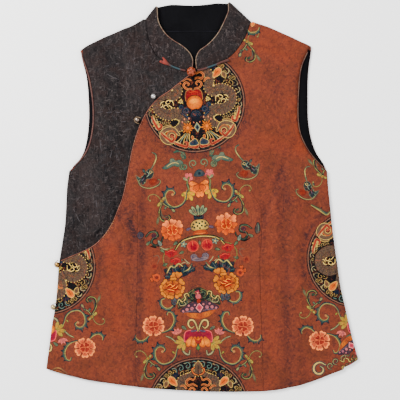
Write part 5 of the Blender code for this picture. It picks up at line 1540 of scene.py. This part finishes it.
collar_cloth = cloth_finish("collar_brocade", (68, 55, 53), (64, 58, 58), (38, 32, 33), (118, 106, 104),
                            (0.55, 0.25, 0.8, 0.4, 0.7), 0.75, blotch_scale=40.0, bump=0.45)
collar_black = cloth_finish("collar_black", (15, 15, 18), (20, 20, 24), (12, 12, 13), (30, 30, 36),
                            (0.4, 0.0, 0.15, 0.3, 0.0), 0.9, bump=0.25)
collar_band = refined("collar_band", "collar_outer", 2, 0.6)
fitted(collar_band, "collar_outer", collar_cloth)
collar_inside = refined("collar_inside", "collar_lining", 2, 0.6)
fitted(collar_inside, "collar_lining", collar_black)


# Pipings: narrow bias strips of the printed silk over a fine cord, sewn into the edges of the collar,
# the lapel and the armholes. The print makes them change colour along their length.
def piping_finish(name, tones, scale=34.0, sheen_rough=0.5):
    """A ribbed silk strip whose tone changes along its length."""
    finish, tree, skin = new_finish(name)
    place = added(tree, "ShaderNodeTexCoord").outputs["Object"]
    along = added(tree, "ShaderNodeTexNoise", {"Vector": place, "Scale": scale, "Detail": 3.0,
                                               "Roughness": 0.7})
    ramp = tone_ramp(tree, along.outputs[0], tones, 0.3 + 0.4 * np.linspace(0, 1, len(tones)))
    twill = added(tree, "ShaderNodeMapping", {"Vector": place, "Rotation": (0.5, 0.4, 0.785)})
    ribs = added(tree, "ShaderNodeTexWave", {"Vector": twill.outputs[0], "Scale": 260.0, "Distortion": 1.0})
    ribs = ribs.outputs["Fac"]
    speck = added(tree, "ShaderNodeTexNoise", {"Vector": place, "Scale": 700.0, "Detail": 2.0})
    colour = blended(tree, spread_to(tree, speck.outputs[0], 0.5, 0.75, high=0.4), ramp, dye((96, 52, 44)))
    rough = spread_to(tree, ribs, low=sheen_rough, high=sheen_rough + 0.2)
    surfaced(tree, skin, colour, rough, ribs, 0.5, 0.0002, 0.2)
    return finish


collar_trim = piping_finish("collar_trim", ((128, 70, 60), (148, 124, 108), (170, 150, 130), (132, 74, 62),
                                            (158, 134, 116)), 48.0)
lapel_trim = piping_finish("lapel_trim", ((168, 94, 68), (156, 84, 58), (188, 132, 104), (162, 88, 62),
                                          (206, 178, 146)), 40.0)
armhole_trim = piping_finish("armhole_trim", ((96, 48, 42), (116, 62, 54), (136, 84, 70), (104, 52, 46),
                                              (118, 66, 56)), 48.0)
rust_trim = piping_finish("rust_trim", ((116, 60, 44), (138, 84, 64), (150, 108, 86), (116, 58, 42),
                                        (132, 74, 54)), 48.0)
for piece, solid, finish in (("collar_edge", "collar_piping", collar_trim),
                             ("lapel_edge", "lapel_piping", lapel_trim),
                             ("armhole_edge_left", "armhole_piping_left", armhole_trim),
                             ("armhole_edge_right", "armhole_piping_right", rust_trim)):
    fitted(refined(piece, solid, 1), solid, finish)


# Frog strips: two narrow bias strips laid from the neck knot along the neck seam. The left one ends in
# a fishtail. The print they are cut from gives them bands of orange red, dark red and teal.
STRIP_ROUGH = 0.6


def banded(name, bands):
    """A finish in bands of colour across the garment; each band is a place in print units and a tone."""
    finish, tree, skin = new_finish(name)
    place = added(tree, "ShaderNodeTexCoord").outputs["Object"]
    split = added(tree, "ShaderNodeSeparateXYZ", {"Vector": place})
    first, last = bands[0][0], bands[-1][0]
    run = spread_to(tree, split.outputs["X"], (first - PRINT_MIDDLE[0]) * UNIT,
                    (last - PRINT_MIDDLE[0]) * UNIT)
    ramp = tone_ramp(tree, run, [tone for _, tone in bands],
                     [(x - first) / (last - first) for x, _ in bands])
    speck = added(tree, "ShaderNodeTexNoise", {"Vector": place, "Scale": 500.0, "Detail": 2.0}).outputs[0]
    colour = blended(tree, spread_to(tree, speck, 0.5, 0.75, high=0.35), ramp, dye((84, 34, 30)))
    rough = spread_to(tree, speck, low=STRIP_ROUGH - 0.1, high=STRIP_ROUGH + 0.1)
    surfaced(tree, skin, colour, rough, speck, 0.4, 0.0002, 0.2)
    return finish


left_strip = banded("left_strip", ((158, (150, 60, 40)), (160.5, (190, 82, 50)), (162, (146, 50, 36)),
                                   (164, (190, 86, 56)), (169, (112, 48, 40)), (172.5, (52, 92, 104)),
                                   (179, (60, 98, 110)), (181.5, (108, 56, 48)), (191, (118, 54, 42))))
right_strip = banded("right_strip", ((197, (110, 48, 38)), (206, (122, 66, 54)), (209, (54, 94, 106)),
                                     (215, (52, 90, 102)), (218, (112, 56, 46)), (231, (108, 50, 40))))
frog_left = refined("frog_strip_left", "frog_leg_left", 3, 0.6)
tip, axis = to_plan([(161.2, 59.2)])[0], np.array([0.82, -0.57])
for vert in frog_left.data.vertices:
    away = np.array(vert.co.xy) - tip
    notch = math.exp(-((away @ (-axis[1], axis[0]) / 0.0017) ** 2)) * min(max(1 - away @ axis / 0.008, 0), 1)
    vert.co.xy += Vector(axis) * 0.0046 * notch
fitted(frog_left, "frog_leg_left", left_strip)
fitted(refined("frog_strip_right", "frog_leg_right", 1, 0.6), "frog_leg_right", right_strip)


# Neck knot: the frog's round button, tied from a silk cord in a closed plait of three leads and five
# bights, drawn tight over its own core. It sits where the collar's two ends meet.
def knot_mesh(name, heart, wide, tall, cord):
    """A ball core with a cord plaited round it: its path winds three times and crosses over at five."""
    bm = bmesh.new()
    bmesh.ops.create_icosphere(bm, subdivisions=3, radius=1.0)
    for vert in bm.verts:
        vert.co = Vector((vert.co.x * (wide - cord), vert.co.y * (wide - cord),
                          vert.co.z * (tall - cord))) + heart
    count, sides = 260, 8
    path = []
    for k in range(count):
        s = k / count * 2 * math.pi
        lift = 0.55 * cord * math.cos(10 * s)
        lat = 1.12 * math.sin(5 * s)
        path.append(Vector(((wide - cord + lift) * math.cos(lat) * math.cos(3 * s),
                            (wide - cord + lift) * math.cos(lat) * math.sin(3 * s),
                            (tall - cord + lift) * math.sin(lat))))
    rings = []
    for k, here in enumerate(path):
        ahead = (path[(k + 1) % count] - path[k - 1]).normalized()
        out = here.normalized()
        side = ahead.cross(out).normalized()
        out = side.cross(ahead)
        rings.append([bm.verts.new(heart + here + (side * math.cos(a) + out * math.sin(a)) * cord)
                      for a in (2 * math.pi * m / sides for m in range(sides))])
    for k in range(count):
        one, two = rings[k], rings[(k + 1) % count]
        for m in range(sides):
            bm.faces.new((one[m], one[(m + 1) % sides], two[(m + 1) % sides], two[m]))
    bmesh.ops.recalc_face_normals(bm, faces=bm.faces)
    return shown(name, to_mesh(name, bm))


low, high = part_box("knot_button")
knot_cord = piping_finish("knot_cord", ((150, 70, 38), (186, 96, 52), (206, 122, 74), (160, 76, 42)), 120.0,
                          0.35)
neck_knot = knot_mesh("neck_knot", (low + high) / 2, (high.x - low.x) / 2, (high.z - low.z) / 2, 0.00155)
fitted(neck_knot, "knot_button", knot_cord)


# Ball buttons: four small balls down the lapel's edge and the side, each with a groove turned round it.
# The first is silver-white and the next dark bronze, tones that are painted reflections on the one metal: a
# white highlight and the dark cloth round them; the two at the side are gold and pale gold.
def bead(name, solid, tone, metal, rough, tarnish):
    """A turned ball in its solid's place, with its tone, tarnish and polish."""
    low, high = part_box(solid)
    heart, r, tall = (low + high) / 2, (high.x - low.x) / 2, (high.z - low.z) / 2
    bm = bmesh.new()
    bmesh.ops.create_uvsphere(bm, u_segments=32, v_segments=20, radius=1.0)
    for vert in bm.verts:
        x, y, z = vert.co
        belt = 1.0 - 0.05 * math.exp(-((z + 0.25) / 0.05) ** 2)
        vert.co = Vector((x * r * belt, y * r * belt, z * tall)) + heart
    made = shown(name, to_mesh(name, bm))
    finish, tree, skin = new_finish(name + "_finish")
    place = added(tree, "ShaderNodeTexCoord").outputs["Object"]
    cloud = added(tree, "ShaderNodeTexNoise", {"Vector": place, "Scale": 420.0, "Detail": 3.0}).outputs[0]
    colour = blended(tree, spread_to(tree, cloud, 0.45, 0.7), tone, tarnish)
    tree.links.new(colour, skin.inputs["Base Color"])
    tree.links.new(spread_to(tree, cloud, low=rough * 0.6, high=rough * 1.5), skin.inputs["Roughness"])
    skin.inputs["Metallic"].default_value = metal
    fitted(made, solid, finish)


# The first two tones are painted reflections, a white highlight and the dark cloth, on one brass, not two
# metals.
bead("bead_1", "ball_button_1", (0.5, 0.48, 0.46), 0.7, 0.16, (0.26, 0.25, 0.25))
bead("bead_2", "ball_button_2", (0.2, 0.15, 0.12), 1.0, 0.18, (0.09, 0.07, 0.05))
bead("bead_3", "ball_button_3", (0.3, 0.16, 0.04), 1.0, 0.3, (0.14, 0.07, 0.02))
bead("bead_4", "ball_button_4", (0.4, 0.3, 0.13), 0.8, 0.35, (0.24, 0.17, 0.08))


# Button loops: fine silk cord, one to a ball, sewn to the lapel's edge and the side seam.
dark_loop = piping_finish("dark_loop", ((40, 32, 32), (58, 46, 44), (72, 58, 54)), 160.0)
light_loop = piping_finish("light_loop", ((150, 132, 112), (190, 170, 146), (120, 92, 74)), 160.0)
brown_loop = piping_finish("brown_loop", ((136, 84, 40), (176, 116, 58), (110, 64, 32)), 160.0)
for number, finish in ((1, dark_loop), (2, light_loop), (3, brown_loop), (4, brown_loop)):
    solid = f"button_loop_{number}"
    fitted(refined(f"loop_{number}", solid, 1), solid, finish)


# Edge stitching: single silk thread close inside the lapel's edge and the hem, in short even stitches
# that sink a little into the cloth, and a few thick pale ones where the lapel bends.
def stitch_tree():
    """A node group that lays short threads along a path."""
    tree = bpy.data.node_groups.new("running_stitch", "GeometryNodeTree")
    tree.interface.new_socket("Path", in_out="INPUT", socket_type="NodeSocketGeometry")
    for name in ("Stitch Length", "Spacing", "Thread Radius"):
        tree.interface.new_socket(name, in_out="INPUT", socket_type="NodeSocketFloat")
    tree.interface.new_socket("Thread", in_out="INPUT", socket_type="NodeSocketMaterial")
    tree.interface.new_socket("Stitches", in_out="OUTPUT", socket_type="NodeSocketGeometry")
    given, taken = tree.nodes.new("NodeGroupInput"), tree.nodes.new("NodeGroupOutput")
    curve = tree.nodes.new("GeometryNodeMeshToCurve")
    even = tree.nodes.new("GeometryNodeResampleCurve")
    even.mode = "LENGTH"
    tangent = tree.nodes.new("GeometryNodeInputTangent")
    facing = tree.nodes.new("FunctionNodeAlignRotationToVector")
    facing.axis = "X"
    ball = tree.nodes.new("GeometryNodeMeshIcoSphere")
    ball.inputs["Subdivisions"].default_value = 1
    ball.inputs["Radius"].default_value = 1.0
    half = added(tree, "ShaderNodeMath", {0: given.outputs["Stitch Length"], 1: 0.5}, operation="MULTIPLY")
    size = added(tree, "ShaderNodeCombineXYZ", {"X": half.outputs[0], "Y": given.outputs["Thread Radius"],
                                                "Z": given.outputs["Thread Radius"]})
    uneven = tree.nodes.new("FunctionNodeRandomValue")
    uneven.data_type = "FLOAT"
    uneven.inputs[2].default_value = 0.88
    uneven.inputs[3].default_value = 1.1
    uneven.inputs["Seed"].default_value = 5
    varied = added(tree, "ShaderNodeVectorMath", {0: size.outputs[0]}, operation="SCALE")
    placed = tree.nodes.new("GeometryNodeInstanceOnPoints")
    real = tree.nodes.new("GeometryNodeRealizeInstances")
    thread = tree.nodes.new("GeometryNodeSetMaterial")
    for a, b in ((given.outputs["Path"], curve.inputs["Mesh"]),
                 (curve.outputs["Curve"], even.inputs["Curve"]),
                 (given.outputs["Spacing"], even.inputs["Length"]),
                 (tangent.outputs[0], facing.inputs["Vector"]), (uneven.outputs[1], varied.inputs["Scale"]),
                 (even.outputs["Curve"], placed.inputs["Points"]),
                 (ball.outputs["Mesh"], placed.inputs["Instance"]),
                 (facing.outputs[0], placed.inputs["Rotation"]), (varied.outputs[0], placed.inputs["Scale"]),
                 (placed.outputs[0], real.inputs[0]), (real.outputs[0], thread.inputs["Geometry"]),
                 (given.outputs["Thread"], thread.inputs["Material"]), (thread.outputs[0], taken.inputs[0])):
        tree.links.new(a, b)
    return tree


running_stitch = stitch_tree()


def stitched(name, paths, top, inset, thread, long=0.0024, gap=0.0036, radius=0.00022):
    """Stitches beside an edge: each path is in print units, and lies on the cloth's own surface."""
    points, edges = [], []
    for path in paths:
        p = to_plan(bent(path, 1.5))
        p = p + leftward(directions(p), inset)
        start = len(points)
        points.extend((x, y, z + radius * 0.3) for (x, y), z in zip(p, top(p)))
        edges.extend((start + k, start + k + 1) for k in range(len(p) - 1))
    mesh = bpy.data.meshes.new(name)
    mesh.from_pydata(points, edges, [])
    made = bpy.data.objects.new(name, mesh)
    scene.collection.objects.link(made)
    sewing = made.modifiers.new("sewing", "NODES")
    sewing.node_group = running_stitch
    names = {item.name: item.identifier for item in running_stitch.interface.items_tree
             if item.in_out == "INPUT"}
    sewing[names["Stitch Length"]] = long
    sewing[names["Spacing"]] = gap
    sewing[names["Thread Radius"]] = radius
    sewing[names["Thread"]] = thread
    settled(made)
    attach(made, "root")


rust_thread = piping_finish("rust_thread", ((120, 58, 42), (150, 80, 52), (134, 66, 46)), 90.0)
beige_thread = piping_finish("beige_thread", ((190, 166, 132), (214, 190, 150), (170, 140, 108)), 90.0)
lapel_path = [(187, 77), (178, 84), (168, 92), (160, 97), (152, 105), (145, 115.5), (139.5, 127),
              (133.5, 145), (128.4, 171), (126, 184), (122, 200), (118, 210), (114.4, 219), (108, 230.6),
              (103, 237), (95.3, 244.6), (84, 251), (71, 256.5)]
stitched("lapel_stitches", [lapel_path], front_top, 0.0032, rust_thread)
stitched("lapel_dots", [[(113.4, 221), (108, 230.6), (103, 237)]], front_top, 0.0006, beige_thread,
         0.0018, 0.0042, 0.0005)
stitched("hem_stitches", [[(52, 369), (70, 375), (100, 383), (140, 388), (200, 390), (250, 389.5),
                           (290, 386), (320, 379), (350, 366)]],
         front_top, 0.0062, rust_thread)

low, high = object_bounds()
